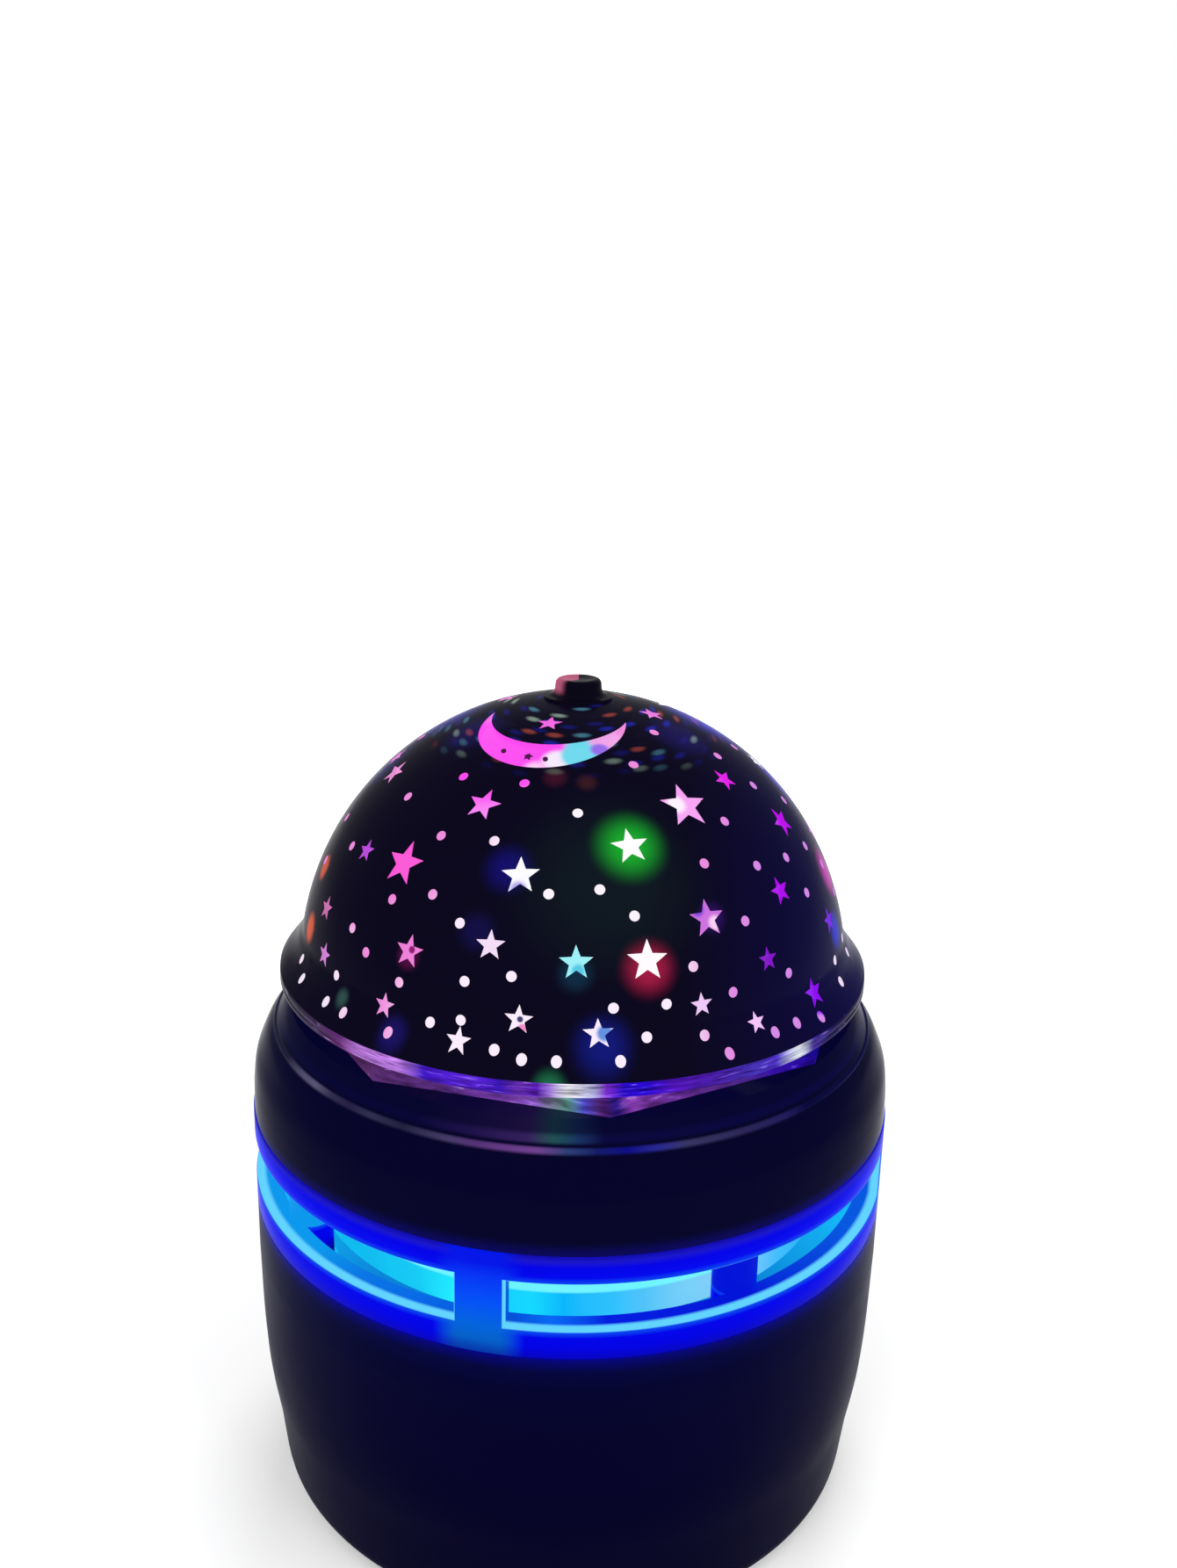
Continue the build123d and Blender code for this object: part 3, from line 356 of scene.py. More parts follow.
# the lenses of the inner dome shine through as soft dashes, in rings round the knob
rise = addNode(tree, "ShaderNodeMath", {0: way.outputs[2]}, operation="ARCSINE")
row = addNode(tree, "ShaderNodeMath", {0: rise.outputs[0], 1: 1 / filmLook["dashTall"]}, operation="MULTIPLY")
turn = addNode(tree, "ShaderNodeMath", {
    0: turnAngle(tree), 1: radians(1) / filmLook["dashWide"],
}, operation="MULTIPLY")
flat = addNode(tree, "ShaderNodeMath", {0: rise.outputs[0]}, operation="COSINE")
along = addNode(tree, "ShaderNodeMath", {0: turn.outputs[0], 1: flat.outputs[0]}, operation="MULTIPLY")
cells = addNode(tree, "ShaderNodeTexVoronoi", {
    "Vector": addNode(tree, "ShaderNodeCombineXYZ", {0: along.outputs[0], 1: row.outputs[0]}).outputs[0],
    "Scale": 1.0, "Randomness": 0.75,
}, voronoi_dimensions="2D")
dash = addNode(tree, "ShaderNodeMapRange", {
    0: cells.outputs["Distance"], 1: filmLook["dashEdge"][0], 2: filmLook["dashEdge"][1], 3: 1.0, 4: 0.0,
}, interpolation_type="SMOOTHSTEP")
chance = addNode(tree, "ShaderNodeSeparateColor", {0: cells.outputs["Color"]})
dashColour = addNode(tree, "ShaderNodeValToRGB", {0: chance.outputs[0]}, stops=filmLook["dashColours"])
dashColour.color_ramp.interpolation = "CONSTANT"
topShare = addNode(tree, "ShaderNodeMapRange", {
    0: way.outputs[2], 1: filmLook["dashRise"][0], 2: filmLook["dashRise"][1],
})
dashShare = addNode(tree, "ShaderNodeMath", {
    0: dash.outputs[0], 1: topShare.outputs[0],
}, operation="MULTIPLY")
glow = addNode(tree, "ShaderNodeMix", {
    0: dashShare.outputs[0], 6: glow, 7: dashColour.outputs[0],
}, data_type="RGBA", blend_type="ADD").outputs[2]
# the cut walls of the windows carry the light out to the film's face
outward = addNode(tree, "ShaderNodeVectorTransform", {
    0: addNode(tree, "ShaderNodeNewGeometry").outputs["True Normal"],
}, vector_type="NORMAL", convert_from="WORLD", convert_to="OBJECT")
facing = addNode(tree, "ShaderNodeVectorMath", {0: outward.outputs[0], 1: direction}, operation="DOT_PRODUCT")
facing = addNode(tree, "ShaderNodeMath", {0: facing.outputs["Value"]}, operation="ABSOLUTE")
wallShare = addNode(tree, "ShaderNodeMath", {
    0: facing.outputs[0], 1: filmLook["wallTilt"],
}, operation="LESS_THAN")
glow = addNode(tree, "ShaderNodeMix", {
    0: wallShare.outputs[0], 6: glow, 7: addWindowGlow(tree, direction),
}, data_type="RGBA").outputs[2]
tree.links.new(glow, shader.inputs["Emission Color"])
addGrain(tree, shader, *filmLook["grain"])
dress(filmFinish, "star_mask")
print("black film made")

# three marks by the crescent that are too small for windows: a star and two dots of darker ink
specks = {
    "sink": 0.25, "thick": 0.3,  # mm below the film's face, and mm through
    "sides": 10, "grain": (2, 0.004, 0.25, 0.35),
    "spots": (  # angle, rise, radius in mm, and how far every other corner is pulled in
        (-20.4, 63.0, 0.95, 0.5), (-32.6, 63.4, 0.45, 1.0), (-12.6, 62.7, 0.45, 1.0),
    ),
}
speckParts = []
for turn, rise, size, pull in specks["spots"]:
    way = Vector(domeWay(turn, rise))
    bpy.ops.object.select_all(action="DESELECT")
    bpy.ops.mesh.primitive_circle_add(
        vertices=specks["sides"], radius=size * mm, fill_type="NGON",
        location=way * (dome["filmReach"] - specks["sink"]) * mm + domeMiddle,
        rotation=way.to_track_quat("Z", "Y").to_euler(),
    )
    speck = bpy.context.active_object
    bpy.ops.object.mode_set(mode="EDIT")
    bpy.ops.mesh.select_all(action="SELECT")
    bpy.ops.mesh.extrude_region_move(TRANSFORM_OT_translate={"value": way * specks["thick"] * mm})
    bpy.ops.object.mode_set(mode="OBJECT")
    if pull < 1:
        for corner in speck.data.vertices:
            corner.select = corner.index % 2 == 1
        bpy.ops.object.mode_set(mode="EDIT")
        bpy.ops.transform.resize(value=(pull, pull, pull))
        bpy.ops.object.mode_set(mode="OBJECT")
    speckParts.append(speck)
for speck in speckParts:
    speck.select_set(True)
bpy.ops.object.join()
moonSpecks = bpy.context.active_object
moonSpecks.name = moonSpecks.data.name = "moonSpecks"
# screen ink: dull and thin, so a little pink comes through the dark
speckFinish, tree, shader = newFinish("darkSpeckInk", {
    "Base Color": "#08040c", "Specular IOR Level": 0.05, "Emission Color": "#481048",
    "Emission Strength": 1.0,
})
addGrain(tree, shader, *specks["grain"])
finishPiece(moonSpecks, "cover", speckFinish)
print("marks by the crescent made")

# light ring: a round wall with a thin tongue inside, cut by four long slots that leave four posts
ring = {
    "wall": 60, "step": 57.5, "tongue": 55.9,  # radii in mm
    "low": 57.5, "high": 76, "tongueLow": 54.5, "tongueHigh": 78.2, "slotLow": 62.7, "slotHigh": 71.1,
    "slotBevel": 0.5, "edgeBevel": 0.25, "slack": 0.1,
    "postHalf": 4, "turnSlack": 0.5, "facets": 360,  # a post's half width and the slack are in degrees
    "bosses": [around(53.5, 32 + 90 * k) for k in range(4)], "bossRadius": 3.8, "boreRadius": 1.6,
    "boreEnds": (50, 80),
}
lightRing = turnProfile("lightRing", [
    *[(ring["wall"], ring[level]) for level in ("low", "slotLow", "slotHigh", "high")],
    *[(ring["step"], ring[level]) for level in ("high", "tongueHigh")],
    *[(ring["tongue"], ring[level]) for level in ("tongueHigh", "slotHigh", "slotLow", "tongueLow")],
    *[(ring["step"], ring[level]) for level in ("tongueLow", "low")], (ring["wall"], ring["low"]),
], steps=ring["facets"])


def turnFrom(corner, middle):  # degrees from a place given as degrees from the front
    return abs((degrees(atan2(corner.x, -corner.y)) - middle + 180) % 360 - 180)


def postApart(corner):  # degrees from the nearest post's middle
    return min(turnFrom(corner, postTurn + 90 * k) for k in range(4))


def inSlot(corners):
    middle = sum(corners, Vector()) / len(corners)
    level = ring["slotLow"] * mm < middle.z < ring["slotHigh"] * mm
    return level and postApart(middle) > ring["postHalf"]


def atSlot(corners):  # on the height of the slots, their edges included
    low, high = ring["slotLow"] - ring["slack"], ring["slotHigh"] + ring["slack"]
    return all(low < c.z / mm < high for c in corners)


def onWall(corners):
    return all(hypot(c.x, c.y) > (ring["wall"] - ring["slack"]) * mm for c in corners)


def isLevel(corners):
    return abs(corners[0].z - corners[1].z) < weld


def onRim(corners, slotMiddle):  # open edges of one slot, on the wall and on the tongue
    slotHalf = 45 - ring["postHalf"]
    near = all(turnFrom(c, slotMiddle) < slotHalf + ring["turnSlack"] for c in corners)
    ends = all(abs(turnFrom(c, slotMiddle) - slotHalf) < ring["turnSlack"] for c in corners)
    reaches = [hypot(c.x, c.y) for c in corners]
    ringwise = abs(reaches[0] - reaches[1]) < ring["slack"] * mm
    return atSlot(corners) and near and ringwise and (isLevel(corners) or ends)


def slotLip(corners):  # outer edges round each slot
    middle = (corners[0] + corners[1]) / 2
    along = isLevel(corners) and postApart(middle) > ring["postHalf"]
    upright = not isLevel(corners) and abs(postApart(middle) - ring["postHalf"]) < ring["turnSlack"]
    return onWall(corners) and atSlot(corners) and (along or upright)


def wallLip(corners):  # outer edges at the top and the foot of the wall
    ends = (ring["low"], ring["high"])
    return onWall(corners) and any(all(abs(c.z - z * mm) < weld for c in corners) for z in ends)


pick(lightRing, "FACE", inSlot)
bpy.ops.mesh.delete(type="FACE")
bpy.ops.object.mode_set(mode="OBJECT")
for quarter in range(4):
    slotMiddle = postTurn + 45 + 90 * quarter
    pick(lightRing, "EDGE", lambda corners: onRim(corners, slotMiddle))
    bpy.ops.mesh.bridge_edge_loops()
    bpy.ops.object.mode_set(mode="OBJECT")
pick(lightRing, "EDGE", slotLip)
bpy.ops.mesh.bevel(offset=ring["slotBevel"] * mm, segments=3, profile=0.5, affect="EDGES")
bpy.ops.object.mode_set(mode="OBJECT")
pick(lightRing, "EDGE", wallLip)
bpy.ops.mesh.bevel(offset=ring["edgeBevel"] * mm, segments=2, profile=0.5, affect="EDGES")
bpy.ops.object.mode_set(mode="OBJECT")
combine(lightRing, addRods(ring["bosses"], ring["bossRadius"], (ring["tongueLow"], ring["high"])), "UNION")
combine(lightRing, addRods(ring["bosses"], ring["boreRadius"], ring["boreEnds"]), "DIFFERENCE")

ringLook = {
    "span": (54, 78),  # heights in mm that the colours run over
    "wall": (  # height and colour
        (54.0, "#04033c"), (57.0, "#04049d"), (58.0, "#0402c6"), (59.5, "#0202e4"), (61.5, "#0205ec"),
        (62.5, "#0a48ee"), (71.5, "#0a40f0"), (72.4, "#0308ee"), (74.2, "#0303e8"), (75.3, "#1a16cc"),
        (76.4, "#0c08a0"),
    ),
    "post": (
        (57.0, "#06289a"), (58.5, "#0344b4"), (60.0, "#0360c8"), (62.5, "#0364dc"), (67.0, "#0351f8"),
        (72.0, "#0630f4"), (74.0, "#0416e8"),
    ),
    "ledge": (  # angle and colour behind the slot's lip
        (-48, "#0c98ec"), (-36, "#0a76e4"), (-24, "#0868e6"), (-8, "#0450d8"), (-2, "#0868f4"),
        (7, "#041ce0"), (32, "#0414d8"), (60, "#0858e0"),
    ),
    "lip": "#62d4ff", "postFade": (3.0, 7.5),  # degrees from a post's middle
    "lipFrom": (58.0, 58.7), "faceFrom": (59.82, 59.95), "slotSlack": 0.3,  # radii and slack in mm
    "grain": (4, 0.01, 0.2, 0.3),
}
# blue polycarbonate, moulded: lit from inside, so it glows deep blue and the slots' edges shine
ringFinish, tree, shader = newFinish("litBluePolycarbonate", {
    "Base Color": "#00000c", "IOR": 1.05, "Emission Strength": 1.0,
})
radius, height = reachOut(tree), heightUp(tree)
low, high = ringLook["span"]
level = addNode(tree, "ShaderNodeMapRange", {0: height, 1: low, 2: high})
wallGlow, postGlow = (
    addNode(tree, "ShaderNodeValToRGB", {0: level.outputs[0]}, stops=heightStops(ringLook[key], low, high))
    for key in ("wall", "post")
)
# the turn folded at 45 degrees is nought at every post and greatest half way between two
apart = addNode(tree, "ShaderNodeMath", {0: turnAngle(tree), 1: -postTurn}, operation="ADD")
apart = addNode(tree, "ShaderNodeMath", {0: apart.outputs[0], 1: 45.0}, operation="PINGPONG")
postShare = addNode(tree, "ShaderNodeMapRange", {
    0: apart.outputs[0], 1: ringLook["postFade"][0], 2: ringLook["postFade"][1], 3: 1.0, 4: 0.0,
}, interpolation_type="SMOOTHSTEP")
glow = addNode(tree, "ShaderNodeMix", {
    0: postShare.outputs[0], 6: wallGlow.outputs[0], 7: postGlow.outputs[0],
}, data_type="RGBA").outputs[2]
toLip = addNode(tree, "ShaderNodeMapRange", {
    0: radius, 1: ringLook["lipFrom"][0], 2: ringLook["lipFrom"][1],
})
ledgeGlow = addNode(tree, "ShaderNodeValToRGB", {0: frontShare(tree)}, stops=frontStops(ringLook["ledge"]))
slotGlow = addNode(tree, "ShaderNodeMix", {
    0: toLip.outputs[0], 6: ledgeGlow.outputs[0], 7: hexColour(ringLook["lip"]),
}, data_type="RGBA").outputs[2]
behindFace = addNode(tree, "ShaderNodeMapRange", {
    0: radius, 1: ringLook["faceFrom"][0], 2: ringLook["faceFrom"][1], 3: 1.0, 4: 0.0,
})
aboveLow = addNode(tree, "ShaderNodeMath", {
    0: height, 1: ring["slotLow"] - ringLook["slotSlack"],
}, operation="GREATER_THAN")
underHigh = addNode(tree, "ShaderNodeMath", {
    0: height, 1: ring["slotHigh"] + ringLook["slotSlack"],
}, operation="LESS_THAN")
slotShare = behindFace
for limit in (aboveLow, underHigh):
    slotShare = addNode(tree, "ShaderNodeMath", {
        0: slotShare.outputs[0], 1: limit.outputs[0],
    }, operation="MULTIPLY")
glow = addNode(tree, "ShaderNodeMix", {
    0: slotShare.outputs[0], 6: glow, 7: slotGlow,
}, data_type="RGBA").outputs[2]
tree.links.new(glow, shader.inputs["Emission Color"])
addGrain(tree, shader, *ringLook["grain"])
finishPiece(lightRing, "base", ringFinish, "light_ring")
print("light ring modelled,", len(lightRing.data.polygons), "faces")

# milky strip behind the slots: extruded opal acrylic, it spreads the chips' light into soft cyan patches
stripLook = {
    "colours": (  # angle and colour
        (-60, "#0cb4e8"), (-30, "#16c7f0"), (-22, "#22ecff"), (-14, "#18d0fb"), (-6, "#15d8fd"),
        (0, "#0ab4f9"), (10, "#30c0fa"), (22, "#6cc8f4"), (36, "#88d2f6"), (50, "#40b8f8"), (70, "#1094e8"),
    ),
    "top": "#70f4ff", "topFrom": (61.9, 62.3), "patchSize": 11.11, "patchShare": 0.35,  # mm
}
stripFinish, tree, shader = newFinish("litOpalAcrylic", {
    "Base Color": "#06202c", "Roughness": 0.4, "Specular IOR Level": 0.1, "Emission Strength": 1.0,
})
stripGlow = addNode(tree, "ShaderNodeValToRGB", {0: frontShare(tree)}, stops=frontStops(stripLook["colours"]))
toTop = addNode(tree, "ShaderNodeMapRange", {
    0: heightUp(tree), 1: stripLook["topFrom"][0], 2: stripLook["topFrom"][1],
})
glow = addNode(tree, "ShaderNodeMix", {
    0: toTop.outputs[0], 6: stripGlow.outputs[0], 7: hexColour(stripLook["top"]),
}, data_type="RGBA").outputs[2]
patches = addNode(tree, "ShaderNodeTexNoise", {
    "Vector": addNode(tree, "ShaderNodeTexCoord").outputs["Object"],
    "Scale": 1 / (stripLook["patchSize"] * mm), "Detail": 1.0,
})
glow = addNode(tree, "ShaderNodeMix", {
    0: stripLook["patchShare"], 6: glow, 7: patches.outputs["Fac"],
}, data_type="RGBA", blend_type="SOFT_LIGHT").outputs[2]
tree.links.new(glow, shader.inputs["Emission Color"])
dress(stripFinish, "diffuser_ring")
print("milky strip made")

# upper housing: turned shell with a crease at the shoulder and an eight-sided opening
housing = {  # radii and heights in mm
    "foot": [(59.55, 76.0), (59.8, 76.25)],
    "outside": smoothPoints([(59.7, 81), (59.2, 85), (58.0, 88.2), (56.9, 90.4), (55.8, 91.75)]),
    "bead": [(55.78, 91.98), (55.66, 92.14), (55.42, 92.2), (55.22, 92.3)],
    "slope": [(54.0, 94.2), (52.85, 96.0), (52.6, 96.2)],
    "inside": [
        (46.0, 96.2), (46.0, 94.0), (51.9, 94.0), (53.4, 91.2), (54.8, 89.5), (56.8, 85.5), (57.6, 81.5),
        (57.6, 76.0),
    ],
    "opening": 52.5, "openingEnds": (92.9, 99.0),  # reach of its corners
    "bosses": [around(52.2, 77 + 90 * k) for k in range(4)],
    "bossRadius": 3.8, "bossEnds": (78.4, 90.2), "boreRadius": 1.54, "boreEnds": (77.4, 88.4),
}
upperHousing = turnProfile("upperHousing", [
    *housing["foot"], *housing["outside"], *housing["bead"], *housing["slope"], *housing["inside"],
    housing["foot"][0],
])
opening = addRods([(0, 0)], housing["opening"], housing["openingEnds"], sides=8, turn=openingTurn)
combine(upperHousing, opening, "DIFFERENCE")
combine(upperHousing, addRods(housing["bosses"], housing["bossRadius"], housing["bossEnds"]), "UNION")
combine(upperHousing, addRods(housing["bosses"], housing["boreRadius"], housing["boreEnds"]), "DIFFERENCE")

housingLook = {
    "crease": (  # painted glint along the crease: angle and colour
        (-62, "#1c1a34"), (-55, "#4c4868"), (-50, "#585373"), (-45, "#302c4c"), (-40, "#262044"),
        (-35, "#302f4e"), (-28, "#201f3e"), (-20, "#433a65"), (-15, "#543176"), (-5, "#704190"),
        (0, "#2d3f76"), (5, "#141b65"), (10, "#0d0c84"), (15, "#292791"), (20, "#383562"), (30, "#2c2655"),
        (40, "#211b5a"), (45, "#07063a"),
    ),
    # painted reflection streaks on the slope above the crease
    "slope": (
        (-60, "#050430"), (-26, "#060434"), (-16, "#1c1048"), (-6, "#34205c"), (-2, "#205050"),
        (2, "#183060"), (6, "#08063c"), (60, "#05043a"),
    ),
    # painted light: a navy glow over the whole shell, and a bluer glow at the foot
    "wall": "#040328", "foot": "#080658",
    "slopeStart": (92.7, 93.3), "slopeEnd": (93.7, 94.6), "slopeLeft": 0.25,  # heights in mm, share left over
    "creaseStart": (91.5, 91.95), "creaseEnd": (92.25, 92.6), "footEnd": (76.0, 79.0),
    "grain": (6, 0.006, 0.12, 0.18),
}
# piano black ABS from a polished mould: deep gloss, with painted light on it: a navy glow all over, a bluer
# glow at the foot next to the light ring, and painted coloured glints along the crease and the slope above it
housingFinish, tree, shader = newFinish("pianoBlackAbs", {
    "Base Color": "#020204", "IOR": 1.05, "Emission Strength": 1.0,
})
height, share = heightUp(tree), frontShare(tree)
creaseGlow, slopeGlow = (
    addNode(tree, "ShaderNodeValToRGB", {0: share}, stops=frontStops(housingLook[key]))
    for key in ("crease", "slope")
)
onSlope = addNode(tree, "ShaderNodeMapRange", {
    0: height, 1: housingLook["slopeStart"][0], 2: housingLook["slopeStart"][1],
}, interpolation_type="SMOOTHSTEP")
offSlope = addNode(tree, "ShaderNodeMapRange", {
    0: height, 1: housingLook["slopeEnd"][0], 2: housingLook["slopeEnd"][1],
    3: 1.0, 4: housingLook["slopeLeft"],
}, interpolation_type="SMOOTHSTEP")
slopeShare = addNode(tree, "ShaderNodeMath", {
    0: onSlope.outputs[0], 1: offSlope.outputs[0],
}, operation="MULTIPLY")
glow = addNode(tree, "ShaderNodeMix", {
    0: slopeShare.outputs[0], 6: hexColour(housingLook["wall"]), 7: slopeGlow.outputs[0],
}, data_type="RGBA").outputs[2]
footShare = addNode(tree, "ShaderNodeMapRange", {
    0: height, 1: housingLook["footEnd"][0], 2: housingLook["footEnd"][1], 3: 1.0, 4: 0.0,
}, interpolation_type="SMOOTHERSTEP")
glow = addNode(tree, "ShaderNodeMix", {
    0: footShare.outputs[0], 6: glow, 7: hexColour(housingLook["foot"]),
}, data_type="RGBA").outputs[2]
onCrease = addNode(tree, "ShaderNodeMapRange", {
    0: height, 1: housingLook["creaseStart"][0], 2: housingLook["creaseStart"][1],
})
offCrease = addNode(tree, "ShaderNodeMapRange", {
    0: height, 1: housingLook["creaseEnd"][0], 2: housingLook["creaseEnd"][1], 3: 1.0, 4: 0.0,
})
creaseShare = addNode(tree, "ShaderNodeMath", {
    0: onCrease.outputs[0], 1: offCrease.outputs[0],
}, operation="MULTIPLY")
glow = addNode(tree, "ShaderNodeMix", {
    0: creaseShare.outputs[0], 6: glow, 7: creaseGlow.outputs[0],
}, data_type="RGBA").outputs[2]
tree.links.new(glow, shader.inputs["Emission Color"])
addGrain(tree, shader, *housingLook["grain"])
finishPiece(upperHousing, "base", housingFinish, "upper_housing", 30)
print("upper housing modelled,", len(upperHousing.data.polygons), "faces")

# knob: a turned stub with a flared foot that follows the dome, dished on top
knob = {  # radii and heights in mm
    "footRadii": (3.0, 3.8, 4.6, 5.4, 6.15),
    "flare": [(6.2, 151.75), *smoothPoints([(6.15, 151.95), (5.3, 152.05), (4.6, 152.4), (4.25, 153.1)])],
    "brow": smoothPoints([(4.2, 153.8), (4.05, 154.5), (3.6, 154.92), (3.0, 155.0)], 4),
    "dish": [(2.2, 154.86), (1.2, 154.76), (0.0, 154.72)],
    "bore": [(0.0, 153.35), (1.54, 153.35), (1.54, 149.55), (3.0, 149.55)],
}
knobFoot = [(r, dome["middle"] + (dome["filmReach"] ** 2 - r ** 2) ** 0.5) for r in knob["footRadii"]]
topKnob = turnProfile("topKnob", [
    *knobFoot, *knob["flare"], *knob["brow"], *knob["dish"], *knob["bore"], knobFoot[0],
], steps=96)

knobLook = {
    # painted light: black is a faint violet glow over the whole knob, pink is a painted highlight on its
    # upper left side
    "black": "#060412", "pink": "#b05474", "grain": (2, 0.008, 0.14, 0.24),
    "pinkTurn": (-28.0, -55.0), "pinkRise": (152.3, 153.4),  # angles, and heights in mm
}
# black ABS, moulded and polished: shiny, with a faint violet glow painted all over and a painted pink
# highlight on its upper left side
knobFinish, tree, shader = newFinish("blackKnobAbs", {
    "Base Color": "#030206", "IOR": 1.08, "Emission Strength": 1.0,
})
leftShare = addNode(tree, "ShaderNodeMapRange", {
    0: turnAngle(tree), 1: knobLook["pinkTurn"][0], 2: knobLook["pinkTurn"][1],
}, interpolation_type="SMOOTHSTEP")
highShare = addNode(tree, "ShaderNodeMapRange", {
    0: heightUp(tree), 1: knobLook["pinkRise"][0], 2: knobLook["pinkRise"][1],
})
pinkShare = addNode(tree, "ShaderNodeMath", {
    0: leftShare.outputs[0], 1: highShare.outputs[0],
}, operation="MULTIPLY")
glow = addNode(tree, "ShaderNodeMix", {
    0: pinkShare.outputs[0], 6: hexColour(knobLook["black"]), 7: hexColour(knobLook["pink"]),
}, data_type="RGBA").outputs[2]
tree.links.new(glow, shader.inputs["Emission Color"])
addGrain(tree, shader, *knobLook["grain"])
finishPiece(topKnob, "cover", knobFinish, "top_knob", 50)
print("knob modelled")

# turntable: clear disc with a rounded, grooved rim and two low round walls
table = {  # radii and heights in mm
    "low": 100.4, "high": 103.0, "hub": 9.06,
    "rim": [
        *smoothPoints([(53.6, 100.4), (54.15, 100.62), (54.3, 101.1), (54.18, 101.5)], 4), (54.0, 101.6),
        *smoothPoints([(54.18, 101.7), (54.3, 102.15), (54.12, 102.75), (53.6, 103.0)], 4),
    ],
    "coverWall": [(47.6, 103.0), (47.6, 105.8), (47.4, 106.0), (46.2, 106.0), (46.0, 105.8), (46.0, 103.0)],
    "lensWall": [(42.5, 103.0), (42.5, 104.6), (41.1, 104.6), (41.1, 103.0)],
    "screws": [around(15.6, 120 * k) for k in range(3)], "screwRadius": 1.2, "screwEnds": (99.0, 104.0),
}
turntableDisc = turnProfile("turntableDisc", [
    (table["hub"], table["low"]), *table["rim"], *table["coverWall"], *table["lensWall"],
    (table["hub"], table["high"]), (table["hub"], table["low"]),
])
screwHoles = addRods(table["screws"], table["screwRadius"], table["screwEnds"], sides=24)
combine(turntableDisc, screwHoles, "DIFFERENCE")

clearLook = {
    "rim": (  # angle and colour
        (-66, "#1c1828"), (-60, "#383048"), (-51, "#3c2c50"), (-44, "#682c78"), (-38, "#b878d8"),
        (-30, "#c884f2"), (-25, "#4014c8"), (-17, "#5c24d8"), (-11, "#3c14b8"), (-8, "#6c30b4"),
        (-5, "#5814b8"), (-3, "#a070e0"), (0, "#f4f4fc"), (4, "#c8c8f4"), (6, "#8430d4"), (9, "#2c06d0"),
        (13, "#2a06dc"), (18, "#5814c8"), (24, "#501cb4"), (34, "#4430b4"), (38.5, "#5030d0"),
        (44, "#e6edf4"), (48, "#4830a4"), (54, "#1c1258"), (62, "#130b3b"),
    ),
    "facet": (
        (-50, "#3c1c48"), (-42, "#5a2f69"), (-24, "#592e82"), (-12, "#753da8"), (-6, "#8551bc"),
        (-3, "#8889a6"), (0, "#5e9c91"), (3, "#4c44c7"), (6, "#52236d"), (9, "#261783"), (12, "#833cab"),
        (20, "#673096"), (32, "#542984"), (38, "#46218e"), (44, "#3711b2"), (56, "#1b0793"),
        (64, "#14065e"),
    ),
    "streakStretch": (0.16, 2.2, 1.0),  # streaks per degree round the rim and per mm of height
    "streakNoise": (0.32, 0.7), "streakLight": (0.35, 1.35),  # noise from dark to bright, and the light there
    "swirl": "#e2c2f5", "swirlNoise": (0.62, 0.72), "swirlShare": 0.28,
}


# clear polycarbonate, moulded and lit through its edge: violet light drawn out in thin bright streaks
def clearFinish(name, key, swirlBlend):
    finish, tree, shader = newFinish(name, {
        "Base Color": "#04020a", "Roughness": 0.1, "IOR": 1.08, "Emission Strength": 1.0,
    })
    edgeGlow = addNode(tree, "ShaderNodeValToRGB", {0: frontShare(tree)}, stops=frontStops(clearLook[key]))
    unrolled = addNode(tree, "ShaderNodeCombineXYZ", {0: turnAngle(tree), 1: heightUp(tree)})
    stretched = addNode(tree, "ShaderNodeVectorMath", {
        0: unrolled.outputs[0], 1: clearLook["streakStretch"],
    }, operation="MULTIPLY")
    streaks = addNode(tree, "ShaderNodeTexNoise", {
        "Vector": stretched.outputs[0], "Scale": 1.0, "Detail": 3.0, "Distortion": 0.6,
    })
    light = addNode(tree, "ShaderNodeMapRange", {
        0: streaks.outputs["Fac"], 1: clearLook["streakNoise"][0], 2: clearLook["streakNoise"][1],
        3: clearLook["streakLight"][0], 4: clearLook["streakLight"][1],
    })
    glow = addNode(tree, "ShaderNodeVectorMath", {
        0: edgeGlow.outputs[0], "Scale": light.outputs[0],
    }, operation="SCALE").outputs[0]
    bright = addNode(tree, "ShaderNodeMapRange", {
        0: streaks.outputs["Fac"], 1: clearLook["swirlNoise"][0], 2: clearLook["swirlNoise"][1],
        3: 0.0, 4: clearLook["swirlShare"],
    }, interpolation_type="SMOOTHSTEP")
    glow = addNode(tree, "ShaderNodeMix", {
        0: bright.outputs[0], 6: glow, 7: hexColour(clearLook["swirl"]),
    }, data_type="RGBA", blend_type=swirlBlend).outputs[2]
    tree.links.new(glow, shader.inputs["Emission Color"])
    return finish


discFinish = clearFinish("litTurntablePolycarbonate", "rim", "LIGHTEN")
finishPiece(turntableDisc, "turntable", discFinish, "turntable", 40)
dress(clearFinish("litPrismPolycarbonate", "facet", "MIX"), "prism_ring")
print("turntable modelled,", len(turntableDisc.data.polygons), "faces, and eight-sided ring made")

